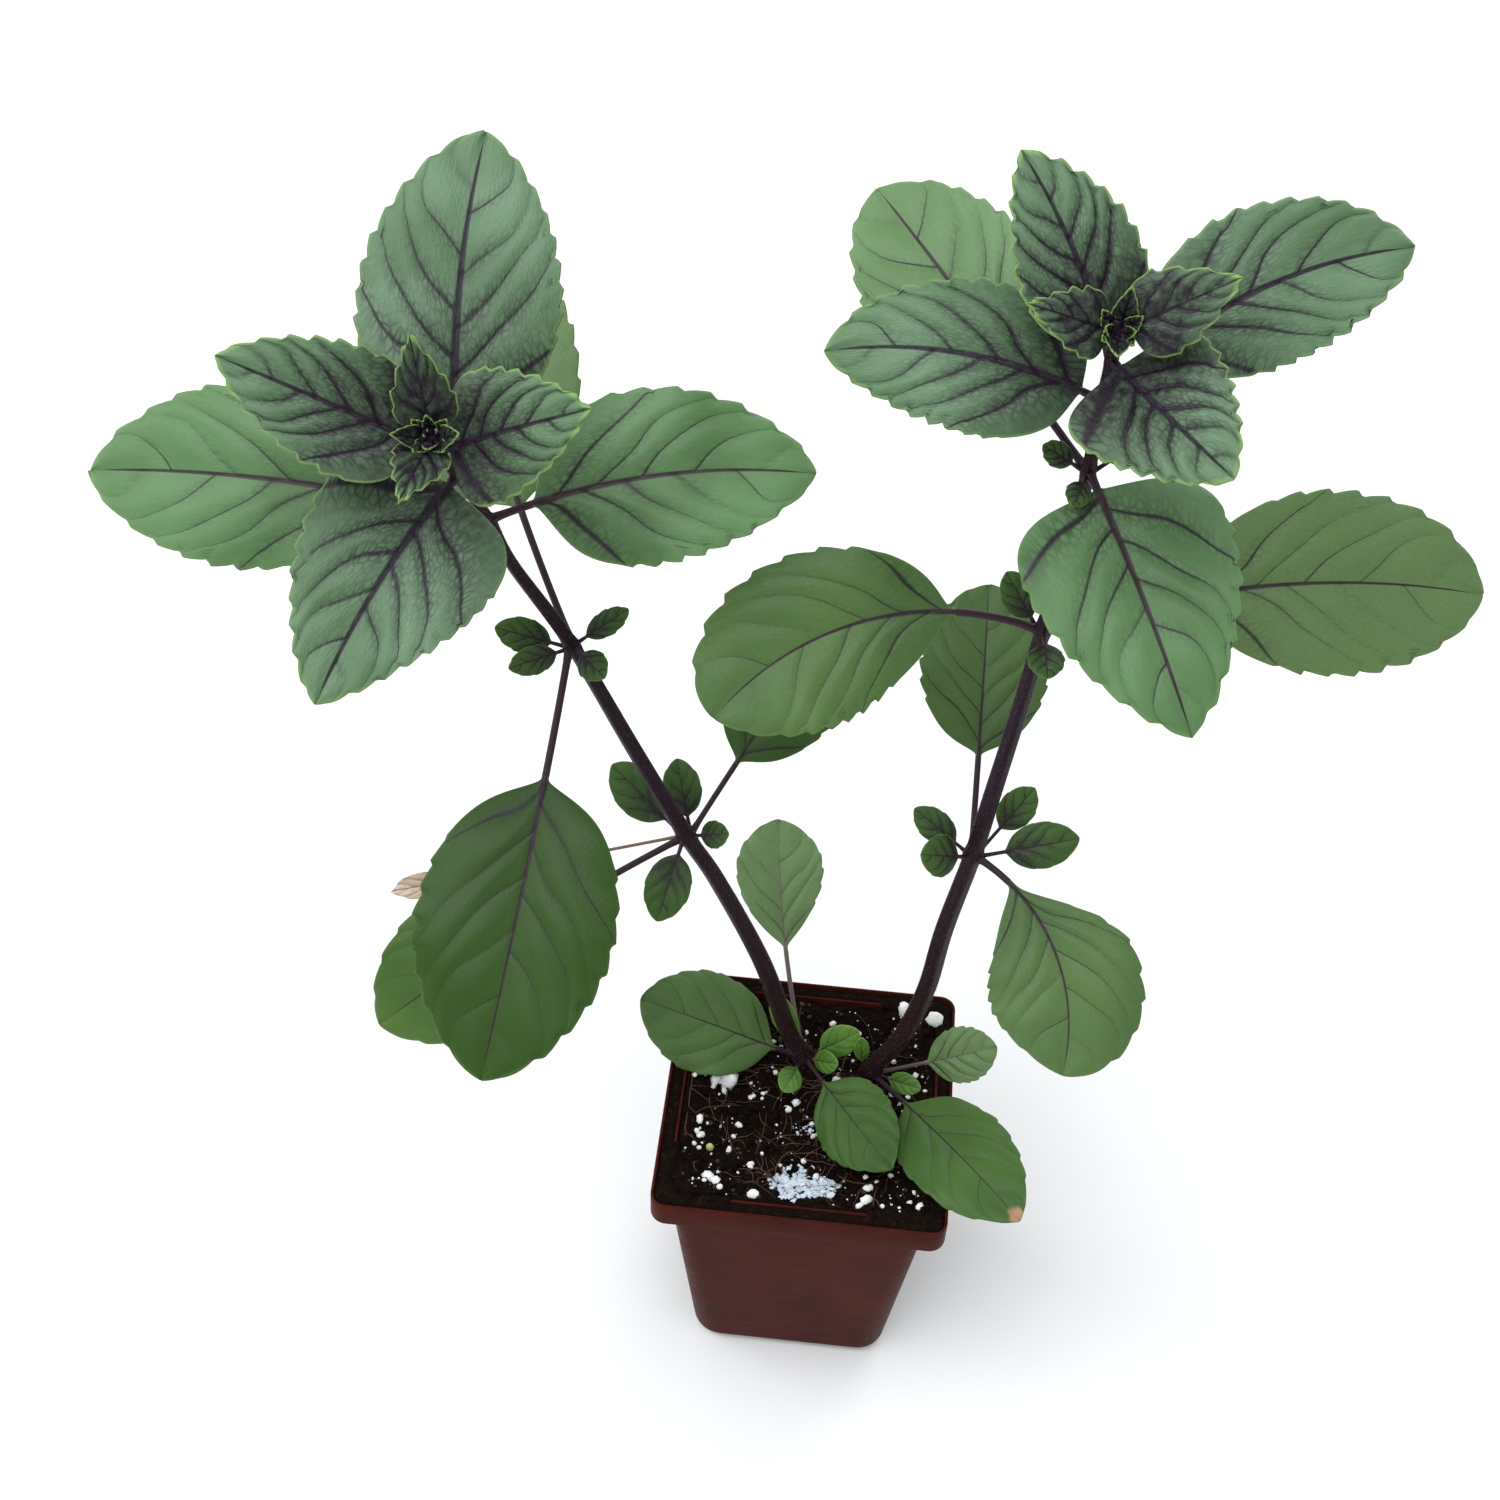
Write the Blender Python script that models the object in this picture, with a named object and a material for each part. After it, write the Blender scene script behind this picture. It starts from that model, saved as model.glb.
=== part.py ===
"""A purple-stemmed basil in a square nursery pot. Millimetres below, metres in the model, +Z up.

The pot stands on z = 0 with its middle on the Z axis and its front towards -Y. Two stems rise from the
soil in a V. Leaves sit in opposite pairs, each pair turned a quarter from the one below it.
"""

from collections import namedtuple

import bpy
import numpy as np

MM = 0.001
GAP = 0.3

# Pot: one thin moulding with a folded rim.
POT_WIDTH = 89.0
POT_HEIGHT = 99.0
POT_FOOT = 63.0
POT_WALL = 1.0
FOOT_ROUND = 5.0
RIM_DROP = 9.5
RIM_REACH = 4.5
RIM_SLOT = 1.6
RIM_CORNER = 5.0
FOOT_CORNER = 9.0
DRAIN_SIZE = 9.0
DRAIN_REACH = 0.52
DRAIN_SIDES = 12
CORNER_STEPS = 4

# Soil: fills the pot to a finger's width below the rim.
SOIL_DEPTH = 9.0
PLANTING_DEPTH = 10.0

# Stems. The lowest leaves spring just below the rim, so that their blades clear it.
STEM_BASE = 5.6
STEM_TOP = 2.2
STEM_SIDES = 8
FOOT_BELOW_RIM = 3.0
BUD_LENGTH = 7.0

# Leaves. LEAF_SCALE sets the distance between the stems' joints too.
FACING = 45.0
LEAF_THICK = 0.7
STALK_THICK = 1.9
LEAF_SCALE = 1.0
LEAF_TIP = 0.8
SECTION_SIDES = 8
SMALL_BLADE = 30.0

SOIL_TOP = POT_HEIGHT - SOIL_DEPTH
FOOT_RISE = SOIL_DEPTH - FOOT_BELOW_RIM

# Middle line of each stem from the soil up. A leaf names the point that it grows from.
STEM_LINES = {
    "left": [
        (-1.5, 18.5, -PLANTING_DEPTH),
        (-3.5, 18, FOOT_RISE),
        (-8.5, 17, 19),
        (-18, 15, 55),
        (-32, 13, 92),
        (-41, 12, 111),
        (-55, 10, 145),
        (-70, 5, 186),
        (-82.5, -1, 216),
        (-86, -7, 234),
        (-90, -17, 254),
        (-91.5, -25, 267),
        (-91.5, -28.5, 272.5),
    ],
    "right": [
        (16.5, 15.5, -PLANTING_DEPTH),
        (19, 15, FOOT_RISE),
        (26.5, 14.5, 24),
        (32, 14, 50),
        (34.5, 13, 80),
        (39, 11.5, 115),
        (41.5, 10, 143),
        (44.5, 7, 180),
        (46, 4, 206),
        (48, 0, 236),
        (48.5, -4, 260.5),
        (47.7, -11, 284),
        (47.2, -17, 298),
        (47, -20, 307),
    ],
}

Leaf = namedtuple("Leaf", "name stem node heading rise stalk blade width bend curl sway roll cup")


def leaf(name, stem, node, heading, rise, stalk, blade, width, bend=0, curl=15, sway=0, roll=0, cup=0.12):
    """One leaf. Headings run anticlockwise round the light, 0 to the right and 90 to the back and up."""
    return Leaf(name, stem, node, heading, rise, stalk, blade, width, bend, curl, sway, roll, cup)


LEAVES = [
    # Foot of the left stem.
    leaf("leaf_left_foot_west", "left", 1, 162, 14, 6, 46, 33, roll=-20),
    leaf("leaf_left_foot_front", "left", 1, -41, 45, 11, 39, 26),
    leaf("leaf_left_foot_back", "left", 1, 107, 0, 31, 42, 26, sway=12),
    leaf("sprout_left_foot_back", "left", 1, 118, 20, 3, 17, 8),
    leaf("sprout_left_foot_right", "left", 1, 35, 25, 3, 13, 10),
    leaf("sprout_left_foot_front", "left", 1, 5, 52, 2, 9, 7),
    leaf("sprout_left_foot_left", "left", 1, -120, 60, 3, 10, 8),
    # First joint of the left stem.
    leaf("leaf_left_1_back", "left", 5, 63, 0, 22, 55, 33, sway=4),
    leaf("leaf_left_1_west", "left", 5, 213, 0, 24, 79, 44, sway=-8),
    leaf("leaf_left_1_withered", "left", 5, 197, -24, 40, 56, 5),
    leaf("sprout_left_1_west", "left", 5, 140, 10, 5, 22, 14),
    leaf("sprout_left_1_front", "left", 5, -102, 15, 3, 20, 13),
    leaf("sprout_left_1_back", "left", 5, 105, 15, 3, 17, 11),
    leaf("sprout_left_1_east", "left", 5, 10, 30, 2, 9, 8),
    # Second joint of the left stem.
    leaf("leaf_left_2_front", "left", 7, -93, 10, 32, 77, 50, sway=5),
    leaf("leaf_left_2_back", "left", 7, 119, -8, 36, 88, 53, sway=12),
    leaf("sprout_left_2_west", "left", 7, 170, 10, 3, 15, 9),
    leaf("sprout_left_2_back", "left", 7, 38, 10, 2, 10, 7),
    leaf("sprout_left_2_front", "left", 7, 205, 22, 2, 13, 9),
    leaf("sprout_left_2_east", "left", 7, -38, 30, 2, 8, 7),
    # Crown of the left stem.
    leaf("leaf_left_3_west", "left", 9, 171, 0, 20, 77, 43, sway=-13),
    leaf("leaf_left_3_east", "left", 9, 26, 0, 9, 67, 41, sway=25),
    leaf("leaf_left_4_back", "left", 10, 98, 5, 8, 67, 46, sway=15),
    leaf("leaf_left_4_front", "left", 10, -121, 15, 6, 52, 43, sway=-13),
    leaf("leaf_left_5_west", "left", 11, 163, 20, 3, 45, 28),
    leaf("leaf_left_5_east", "left", 11, 14, 35, 3, 36, 27),
    leaf("leaf_left_6_back", "left", 12, 103, 35, 1.5, 19, 13),
    leaf("leaf_left_6_front", "left", 12, -103, 40, 1.5, 16, 11),
    # Foot of the right stem.
    leaf("leaf_right_foot_east", "right", 1, 20, 17, 15, 23, 18),
    leaf("leaf_right_foot_front", "right", 1, -30, 46, 15, 55, 33, curl=22, roll=28),
    leaf("sprout_right_foot_back", "right", 1, 103, 30, 2, 8, 6),
    leaf("sprout_right_foot_front", "right", 1, -10, 25, 3, 11, 7),
    # First joint of the right stem.
    leaf("leaf_right_1_back", "right", 5, 91, -5, 25, 50, 36),
    leaf("leaf_right_1_front", "right", 5, -28, 15, 13, 57, 42, sway=62),
    leaf("sprout_right_1_back", "right", 5, 145, 5, 3, 15, 9),
    leaf("sprout_right_1_west", "right", 5, 180, 40, 2, 13, 12),
    leaf("sprout_right_1_northeast", "right", 5, 55, 10, 8, 15, 10),
    leaf("sprout_right_1_east", "right", 5, 16, 10, 6, 21, 13),
    # Second joint of the right stem.
    leaf("leaf_right_2_west", "right", 8, 166, 10, 20, 66, 42, sway=-70),
    leaf("leaf_right_2_east", "right", 8, 23, 0, 33, 74, 45, sway=26),
    leaf("sprout_right_2_back", "right", 8, 125, 20, 2, 13, 9),
    leaf("sprout_right_2_front", "right", 8, -83, 35, 2, 10, 9),
    # Third joint of the right stem.
    leaf("leaf_right_3_front", "right", 10, -66, 30, 4, 60, 46, curl=40),
    leaf("leaf_right_3_back", "right", 10, 129, -10, 22, 62, 39),
    leaf("sprout_right_3_west", "right", 10, 155, 20, 2, 8, 6),
    leaf("sprout_right_3_front", "right", 10, -110, 40, 2, 8, 6),
    leaf("sprout_right_3_east", "right", 10, 36, 25, 3, 10, 7),
    leaf("sprout_right_3_back", "right", 10, 72, 20, 2, 7, 5),
    # Crown of the right stem.
    leaf("leaf_right_4_west", "right", 11, 158, 0, 6, 53, 32, sway=-32),
    leaf("leaf_right_4_east", "right", 11, 50, 0, 12, 62, 34, sway=37),
    leaf("leaf_right_5_back", "right", 12, 112, 15, 3, 41, 26, sway=-16),
    leaf("leaf_right_5_front", "right", 12, -46, 30, 3, 33, 28, sway=-8),
    leaf("leaf_right_6_west", "right", 13, 174, 35, 1.5, 17, 13),
    leaf("leaf_right_6_east", "right", 13, 26, 30, 1.5, 22, 16),
]


def unit(vector):
    return vector / np.linalg.norm(vector)


def smooth_line(points, steps):
    """Points on a Catmull-Rom curve through the given points, `steps` to each span."""
    points = np.asarray(points, float)
    ends = np.vstack([2 * points[0] - points[1], points, 2 * points[-1] - points[-2]])
    share = (np.arange(steps) / steps)[:, None]
    spans = []
    for before, start, stop, after in zip(ends, ends[1:], ends[2:], ends[3:]):
        spans.append(
            start
            + share * (stop - before) / 2
            + share**2 * (before - 2.5 * start + 2 * stop - after / 2)
            + share**3 * (1.5 * start - before / 2 - 1.5 * stop + after / 2)
        )
    return np.vstack(spans + [points[-1:]])


def stem_line(stem, steps=1):
    """Middle line in the pot's frame. Larger leaves stand on longer stems, planted as deep but further apart."""
    planted = (0, 0, PLANTING_DEPTH)
    line = (smooth_line(STEM_LINES[stem], steps) + planted) * LEAF_SCALE - planted
    return line + (0, 0, SOIL_TOP)


def stem_radius(stem, steps=1):
    """Radius at each point of the stem's line. The taper follows the length grown so far."""
    line = stem_line(stem, steps)
    grown = np.r_[0, np.cumsum(np.linalg.norm(np.diff(line, axis=0), axis=1))]
    return (STEM_BASE + (STEM_TOP - STEM_BASE) * (grown / grown[-1]) ** 1.4) / 2


def light_frame():
    """Right, back-and-up, and towards the light, which comes from the front at FACING degrees off the top."""
    lean = np.radians(FACING)
    return np.array([[1, 0, 0], [0, np.cos(lean), np.sin(lean)], [0, -np.sin(lean), np.cos(lean)]])


def leaf_start(one):
    """Where the stalk leaves the stem, its first direction, and the direction that the blade's face looks."""
    line = stem_line(one.stem)
    along = unit(line[min(one.node + 1, len(line) - 1)] - line[one.node - 1])
    radius = stem_radius(one.stem)[one.node]
    right, back, light = light_frame()
    heading, rise, roll = np.radians([one.heading, one.rise, one.roll])
    out = np.cos(rise) * (np.cos(heading) * right + np.sin(heading) * back) + np.sin(rise) * light
    face = unit(light - light.dot(out) * out)
    face = np.cos(roll) * face - np.sin(roll) * np.cross(out, face)
    away = unit(out - out.dot(along) * along)
    lift = radius + GAP + stalk_radius(one) * abs(out.dot(along))
    return line[one.node] + away * lift, out, face


def stalk_radius(one):
    """A stalk is as thick as its blade asks for, and never over STALK_THICK."""
    return min(STALK_THICK, 0.7 + one.width / 35) / 2


def leaf_line(one, stalk_steps, blade_steps):
    """Middle line of the stalk and blade with its frame: places, ways along, sides, faces and blade share."""
    start, out, face = leaf_start(one)
    side = np.cross(out, face)
    stalk, blade = one.stalk * LEAF_SCALE, one.blade * LEAF_SCALE
    grown_stalk = np.linspace(0, stalk, stalk_steps, endpoint=False)
    grown = np.r_[grown_stalk, stalk + blade * np.linspace(0, 1, blade_steps)]
    share = np.clip((grown - stalk) / blade, 0, 1)
    bow = np.radians(one.bend * np.clip(grown / stalk, 0, 1) + one.curl * share**1.3)[:, None]
    sweep = np.radians(one.sway * grown / grown[-1])[:, None]
    level = np.cos(bow) * out - np.sin(bow) * face
    along = np.cos(sweep) * level + np.sin(sweep) * side
    faces = np.sin(bow) * out + np.cos(bow) * face
    sides = np.cross(along, faces)
    moves = (along[1:] + along[:-1]) / 2 * np.diff(grown)[:, None]
    return start + np.vstack([np.zeros(3), np.cumsum(moves, axis=0)]), along, sides, faces, share


def blade_width(share):
    """Half width of the blade over its largest half width, from stalk to tip."""
    return 2.67 * share**0.62 * (1 - share) ** 0.82


def leaf_surface(one):
    """Rings of points round the stalk and then round the thin blade."""
    stalk_steps, blade_steps = (1, 6) if one.blade < SMALL_BLADE else (2, 9)
    line, along, sides, faces, share = leaf_line(one, stalk_steps, blade_steps)
    stalk = stalk_radius(one)
    turn = 2 * np.pi * np.arange(SECTION_SIDES) / SECTION_SIDES
    wide = np.maximum(one.width * LEAF_SCALE / 2 * blade_width(share), stalk * (1 - share) ** 0.5 * 0.9)
    wide[-1] = LEAF_TIP / 2
    thick = stalk + (LEAF_THICK / 2 - stalk) * np.clip(share * 4, 0, 1)
    across = wide[:, None] * np.cos(turn)
    lift = thick[:, None] * np.sin(turn) + one.cup * np.abs(across) * np.clip(share * 5, 0, 1)[:, None]
    return line[:, None] + across[..., None] * sides[:, None] + lift[..., None] * faces[:, None]


def tube_surface(line, radius, sides):
    """Rings round a line. Each ring keeps its corners in step with the one below."""
    along = np.gradient(line, axis=0)
    along /= np.linalg.norm(along, axis=1)[:, None]
    first = np.cross((0, 1, 0), along)
    first /= np.linalg.norm(first, axis=1)[:, None]
    second = np.cross(along, first)
    turn = 2 * np.pi * (np.arange(sides) + 0.5) / sides
    ring = np.cos(turn)[:, None] * first[:, None] + np.sin(turn)[:, None] * second[:, None]
    return line[:, None] + np.asarray(radius)[:, None, None] * ring


def rounded_square(half, corner, height):
    """One level ring of a square with round corners."""
    turn = np.linspace(0, np.pi / 2, CORNER_STEPS + 1)
    arc = np.stack([np.cos(turn), np.sin(turn)], axis=1) * corner + (half - corner)
    ring = []
    for quarter in range(4):
        spin = quarter * np.pi / 2
        rows = np.array([[np.cos(spin), -np.sin(spin)], [np.sin(spin), np.cos(spin)]])
        ring.append(arc @ rows.T)
    ring = np.vstack(ring)
    return np.column_stack([ring, np.full(len(ring), height)])


def pot_half(height):
    """Half width outside the pot's tapering wall at this height."""
    top = POT_WIDTH / 2 - RIM_REACH
    return POT_FOOT / 2 + (top - POT_FOOT / 2) * height / POT_HEIGHT


def pot_corner(height):
    return FOOT_CORNER + (RIM_CORNER - FOOT_CORNER) * height / POT_HEIGHT


def inside(height):
    """Half width and corner inside the pot at this height, on the straight wall from floor to ridge."""
    low, high = POT_WALL + FOOT_ROUND, POT_HEIGHT - RIM_SLOT / 3
    share = (height - low) / (high - low)
    half = pot_half(low) + (pot_half(POT_HEIGHT - RIM_SLOT - POT_WALL) - pot_half(low)) * share
    corner = pot_corner(low) + (RIM_CORNER - pot_corner(low)) * share
    return half - POT_WALL, corner - POT_WALL


def pot_surface():
    """Rings from the middle of the underside, up the outside, over the folded rim and down inside."""
    top, outer = POT_HEIGHT, POT_WIDTH / 2
    fold = top - RIM_SLOT - POT_WALL
    neck = pot_half(fold)
    floor = POT_WALL
    rows = [(DRAIN_SIZE / 2, DRAIN_SIZE / 4, 0), (pot_half(0) - FOOT_ROUND, FOOT_CORNER - FOOT_ROUND / 2, 0)]
    for turn in np.radians([30, 60, 90]):
        inset = FOOT_ROUND * (1 - np.sin(turn))
        height = FOOT_ROUND * (1 - np.cos(turn))
        rows.append((pot_half(height) - inset, pot_corner(height) - inset / 2, height))
    rows += [
        (neck, pot_corner(fold), fold),
        (outer - POT_WALL, RIM_CORNER - POT_WALL, fold),
        (outer - POT_WALL, RIM_CORNER - POT_WALL, top - RIM_DROP),
        (outer, RIM_CORNER, top - RIM_DROP),
        (outer, RIM_CORNER, top - POT_WALL / 3),
        (outer - POT_WALL / 3, RIM_CORNER - POT_WALL / 3, top),
        (outer - POT_WALL * 1.2, RIM_CORNER - POT_WALL, top),
        (outer - POT_WALL * 1.2, RIM_CORNER - POT_WALL, top - RIM_SLOT),
        (neck + POT_WALL / 2, RIM_CORNER - POT_WALL, top - RIM_SLOT),
        (neck + POT_WALL / 2, RIM_CORNER - POT_WALL, top - RIM_SLOT / 3),
        (*inside(top - RIM_SLOT / 3), top - RIM_SLOT / 3),
    ]
    for turn in np.radians([90, 45, 0]):
        inset = FOOT_ROUND * (1 - np.sin(turn))
        height = floor + FOOT_ROUND * (1 - np.cos(turn))
        rows.append((pot_half(height) - POT_WALL - inset, pot_corner(height) - POT_WALL - inset / 2, height))
    rows.append((DRAIN_SIZE / 2, DRAIN_SIZE / 4, floor))
    return np.array([rounded_square(*row) for row in rows])


def soil_surface():
    """The soil follows the inside of the pot, a gap away from it."""
    fit = POT_WALL + GAP
    floor = POT_WALL + GAP
    rows = [(pot_half(0) - fit - FOOT_ROUND, FOOT_CORNER - FOOT_ROUND / 2 - fit, floor)]
    for turn in np.radians([45, 90]):
        inset = FOOT_ROUND * (1 - np.sin(turn))
        height = floor + FOOT_ROUND * (1 - np.cos(turn))
        rows.append((pot_half(height) - fit - inset, pot_corner(height) - fit - inset / 2, height))
    half, corner = inside(SOIL_TOP)
    rows.append((half - GAP, corner - GAP, SOIL_TOP))
    return np.array([rounded_square(*row) for row in rows])


def bud_surface(stem):
    """The closed bud that ends a stem: a small spindle in line with it."""
    line = stem_line(stem)
    along = unit(line[-1] - line[-2])
    radius = stem_radius(stem)[-1]
    rise = np.array([0, 0.25, 0.55, 0.85, 1.0])
    wide = np.array([0.75, 1.15, 1.0, 0.6, 0.15])
    places = line[-1] + along * GAP + along * (rise * BUD_LENGTH)[:, None]
    return tube_surface(places, wide * radius, STEM_SIDES)


def material(name, colour, roughness):
    made = bpy.data.materials.new(name)
    made.use_nodes = True
    shader = made.node_tree.nodes["Principled BSDF"]
    shader.inputs["Base Color"].default_value = (*colour, 1)
    shader.inputs["Roughness"].default_value = roughness
    return made


def solid(name, rings, skin):
    """One closed body from a stack of rings, with a flat end on the first and last ring."""
    count, sides = rings.shape[:2]
    index = np.arange(count * sides).reshape(count, sides)
    around = np.roll(index, -1, axis=1)
    walls = np.stack([index[:-1], around[:-1], around[1:], index[1:]], axis=-1).reshape(-1, 4)
    faces = walls.tolist() + [index[0][::-1].tolist(), index[-1].tolist()]
    mesh = bpy.data.meshes.new(name)
    mesh.from_pydata((rings.reshape(-1, 3) * MM).tolist(), [], faces)
    mesh.validate()
    volume = signed_volume(mesh)
    if volume < 0:
        mesh.flip_normals()
    mesh.materials.append(skin)
    mesh.shade_smooth()
    made = bpy.data.objects.new(name, mesh)
    bpy.context.scene.collection.objects.link(made)
    return made


def signed_volume(mesh):
    mesh.calc_loop_triangles()
    corners = np.array([[mesh.vertices[v].co for v in t.vertices] for t in mesh.loop_triangles])
    return np.linalg.det(corners).sum() / 6


def cut(target, cutter):
    """Takes the cutter out of the target and hides the cutter."""
    step = target.modifiers.new(cutter.name, "BOOLEAN")
    step.operation = "DIFFERENCE"
    step.solver = "EXACT"
    step.object = cutter
    cutter.hide_render = True
    cutter.display_type = "WIRE"


def main():
    for old in list(bpy.data.objects):
        bpy.data.objects.remove(old)
    clay = material("pot_plastic", (0.16, 0.045, 0.03), 0.45)
    peat = material("soil", (0.02, 0.013, 0.009), 0.95)
    bark = material("stem", (0.035, 0.016, 0.022), 0.6)
    green = material("leaf", (0.1, 0.22, 0.09), 0.5)
    husk = material("withered", (0.25, 0.15, 0.08), 0.8)

    pot = solid("pot", pot_surface(), clay)
    reach = POT_FOOT / 2 * DRAIN_REACH
    for number, (x, y) in enumerate([(1, 1), (-1, 1), (-1, -1), (1, -1)]):
        line = np.array([(x * reach, y * reach, z) for z in (-POT_WALL, 3 * POT_WALL)])
        drain = solid(f"drain_{number}", tube_surface(line, [DRAIN_SIZE / 2] * 2, DRAIN_SIDES), clay)
        cut(pot, drain)

    soil = solid("soil", soil_surface(), peat)
    for stem in STEM_LINES:
        line, radius = stem_line(stem, 2), stem_radius(stem, 2)
        solid("stem_" + stem, tube_surface(line, radius, STEM_SIDES), bark)
        hole = line[:5].copy()
        hole[0] += (hole[0] - hole[1]) * GAP / np.linalg.norm(hole[0] - hole[1])
        cut(soil, solid("planting_hole_" + stem, tube_surface(hole, radius[:5] + GAP, STEM_SIDES), peat))
        solid("tip_bud_" + stem, bud_surface(stem), green)

    for one in LEAVES:
        solid(one.name, leaf_surface(one), husk if "withered" in one.name else green)


main()
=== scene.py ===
# %% [markdown]
# # A purple-stemmed basil in a square nursery pot
#
# A working model of the plant already exists: plain solids with the right size and place. This
# lesson gives it its looks. Each real piece is worked out as a surface with numpy, put into a mesh,
# and painted with a material made of nodes. Lengths are in millimetres until a mesh is made.

# %% Load the working model
from collections import namedtuple

import bpy
import numpy as np
from mathutils import Matrix, Vector


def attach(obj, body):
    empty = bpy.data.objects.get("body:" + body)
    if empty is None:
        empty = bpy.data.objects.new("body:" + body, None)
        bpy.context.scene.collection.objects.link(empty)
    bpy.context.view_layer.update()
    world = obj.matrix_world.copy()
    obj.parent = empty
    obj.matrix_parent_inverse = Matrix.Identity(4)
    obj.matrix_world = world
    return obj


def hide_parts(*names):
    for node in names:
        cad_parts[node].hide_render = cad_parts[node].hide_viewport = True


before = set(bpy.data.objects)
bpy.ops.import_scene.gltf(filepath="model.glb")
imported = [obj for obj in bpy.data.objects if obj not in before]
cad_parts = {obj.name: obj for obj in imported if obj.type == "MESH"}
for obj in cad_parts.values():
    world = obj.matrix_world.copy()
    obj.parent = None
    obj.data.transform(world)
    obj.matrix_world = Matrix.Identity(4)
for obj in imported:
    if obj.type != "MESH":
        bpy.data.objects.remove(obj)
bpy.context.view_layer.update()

MM = 0.001

# %% [markdown]
# ## The camera
#
# A young plant is looked at from above, standing in front of it. So the camera is 62 cm up and
# 36 cm in front, and looks down at 45 degrees. A 48 mm lens keeps the crowns, which are nearer to it
# than the pot, from looking swollen. It is rolled a little, as a camera held by hand is.

# %% Camera
EYE = np.array([0.9, -363.8, 617.2])
LOOK_DOWN, LOOK_ASIDE, ROLL = np.radians([45.24, -3.83, 2.63])

lens = bpy.data.cameras.new("camera")
lens.lens = 48
lens.sensor_width = 36
lens.clip_start = 0.01
camera = bpy.data.objects.new("camera", lens)
camera.matrix_world = (
    Matrix.Translation(EYE * MM)
    @ Matrix.Rotation(-LOOK_ASIDE, 4, "Z")
    @ Matrix.Rotation(np.pi / 2 - LOOK_DOWN, 4, "X")
    @ Matrix.Rotation(ROLL, 4, "Z")
)
bpy.context.scene.collection.objects.link(camera)
bpy.context.scene.camera = camera
print("camera at", EYE, "mm")

# %% [markdown]
# ## From rings to a mesh
#
# Almost every piece here is a stack of rings: sections of a stem, of a leaf or of the pot, one after
# another along its length. One function closes such a stack into a skin, with a fan of triangles at
# each end. Two more join shapes and turn faces outward, so that each piece can be worked out as whole
# arrays and checked before Blender sees it.

# %% Directions and turns
def unit(vectors):
    """The vectors at length 1."""
    return vectors / np.linalg.norm(vectors, axis=-1, keepdims=True)


def stacked(*values):
    """Arrays spread to one shape and stacked on a last axis, as x, y and z become points."""
    return np.stack(np.broadcast_arrays(*values), axis=-1)


def round_turn(sides):
    """Angles of a full turn in equal steps, in radians."""
    return 2 * np.pi * np.arange(sides) / sides


def spokes(first, second, sides):
    """Vectors round each point of a path: cos(turn) times the first plus sin(turn) times the second."""
    turn = round_turn(sides)[:, None]
    return np.cos(turn) * first[..., None, :] + np.sin(turn) * second[..., None, :]


print("four spokes in a plane:", spokes(np.eye(3)[0], np.eye(3)[1], 4).round(1).tolist())

# %% Shapes from rings
Shape = namedtuple("Shape", "points faces notes")


def outward(points, faces):
    """The blocks of faces, turned round if the volume that they close is negative.

    The volume adds up the tetrahedra from the origin to each triangle, six times over.
    """
    fans = [block[:, [0, k, k + 1]] for block in faces for k in range(1, block.shape[1] - 1)]
    corners = points[np.vstack(fans)]
    six_volumes = np.einsum("ij,ij->", corners[:, 0], np.cross(corners[:, 1], corners[:, 2]))
    return [block[:, ::-1] for block in faces] if six_volumes < 0 else faces


def with_middles(rings):
    """The points of all rings, then the middle of the first ring and of the last."""
    return np.vstack([rings.reshape(-1, 3), rings[0].mean(0), rings[-1].mean(0)])


def skin_over(rings, notes=None):
    """Closed skin over rings: quads from ring to ring, and a fan to the middle of each end ring."""
    rows, sides = rings.shape[:2]
    index = np.arange(rows * sides).reshape(rows, sides)
    after = np.roll(index, -1, axis=1)
    quads = stacked(index[:-1], after[:-1], after[1:], index[1:]).reshape(-1, 4)
    fans = np.vstack([
        stacked(after[0], index[0], rows * sides),
        stacked(index[-1], after[-1], rows * sides + 1),
    ])
    points = with_middles(rings)
    kept = {name: with_middles(values) for name, values in (notes or {}).items()}
    return Shape(points, outward(points, [quads, fans]), kept)


def hoop_over(rings):
    """A surface that closes on itself both along the rings and across them, as a tyre does."""
    count, sides = rings.shape[:2]
    here = np.arange(count * sides).reshape(count, sides)
    beside = np.roll(here, -1, axis=1)
    quads = stacked(here, beside, np.roll(beside, -1, axis=0), np.roll(here, -1, axis=0)).reshape(-1, 4)
    points = rings.reshape(-1, 3)
    return Shape(points, outward(points, [quads]), {})


def joined(shapes):
    """Several shapes as one, each keeping its own points."""
    starts = np.cumsum([0] + [len(shape.points) for shape in shapes])
    faces = [block + start for shape, start in zip(shapes, starts) for block in shape.faces]
    notes = {name: np.vstack([shape.notes[name] for shape in shapes]) for name in shapes[0].notes}
    return Shape(np.vstack([shape.points for shape in shapes]), faces, notes)


def triangles(shape):
    """How many triangles a shape's faces make."""
    return sum(len(block) * (block.shape[1] - 2) for block in shape.faces)


print("two rings of four points close into", triangles(skin_over(np.zeros((2, 4, 3)))), "triangles")

# %% [markdown]
# A mesh takes whole arrays too: the points, the corners of all faces in one row, and where each face
# starts in that row. Values that a material needs, such as the distance to the nearest vein, are kept
# on the points as attributes. Each piece then says which body it moves with, which finish it takes,
# and which solid of the working model it stands for.

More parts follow.
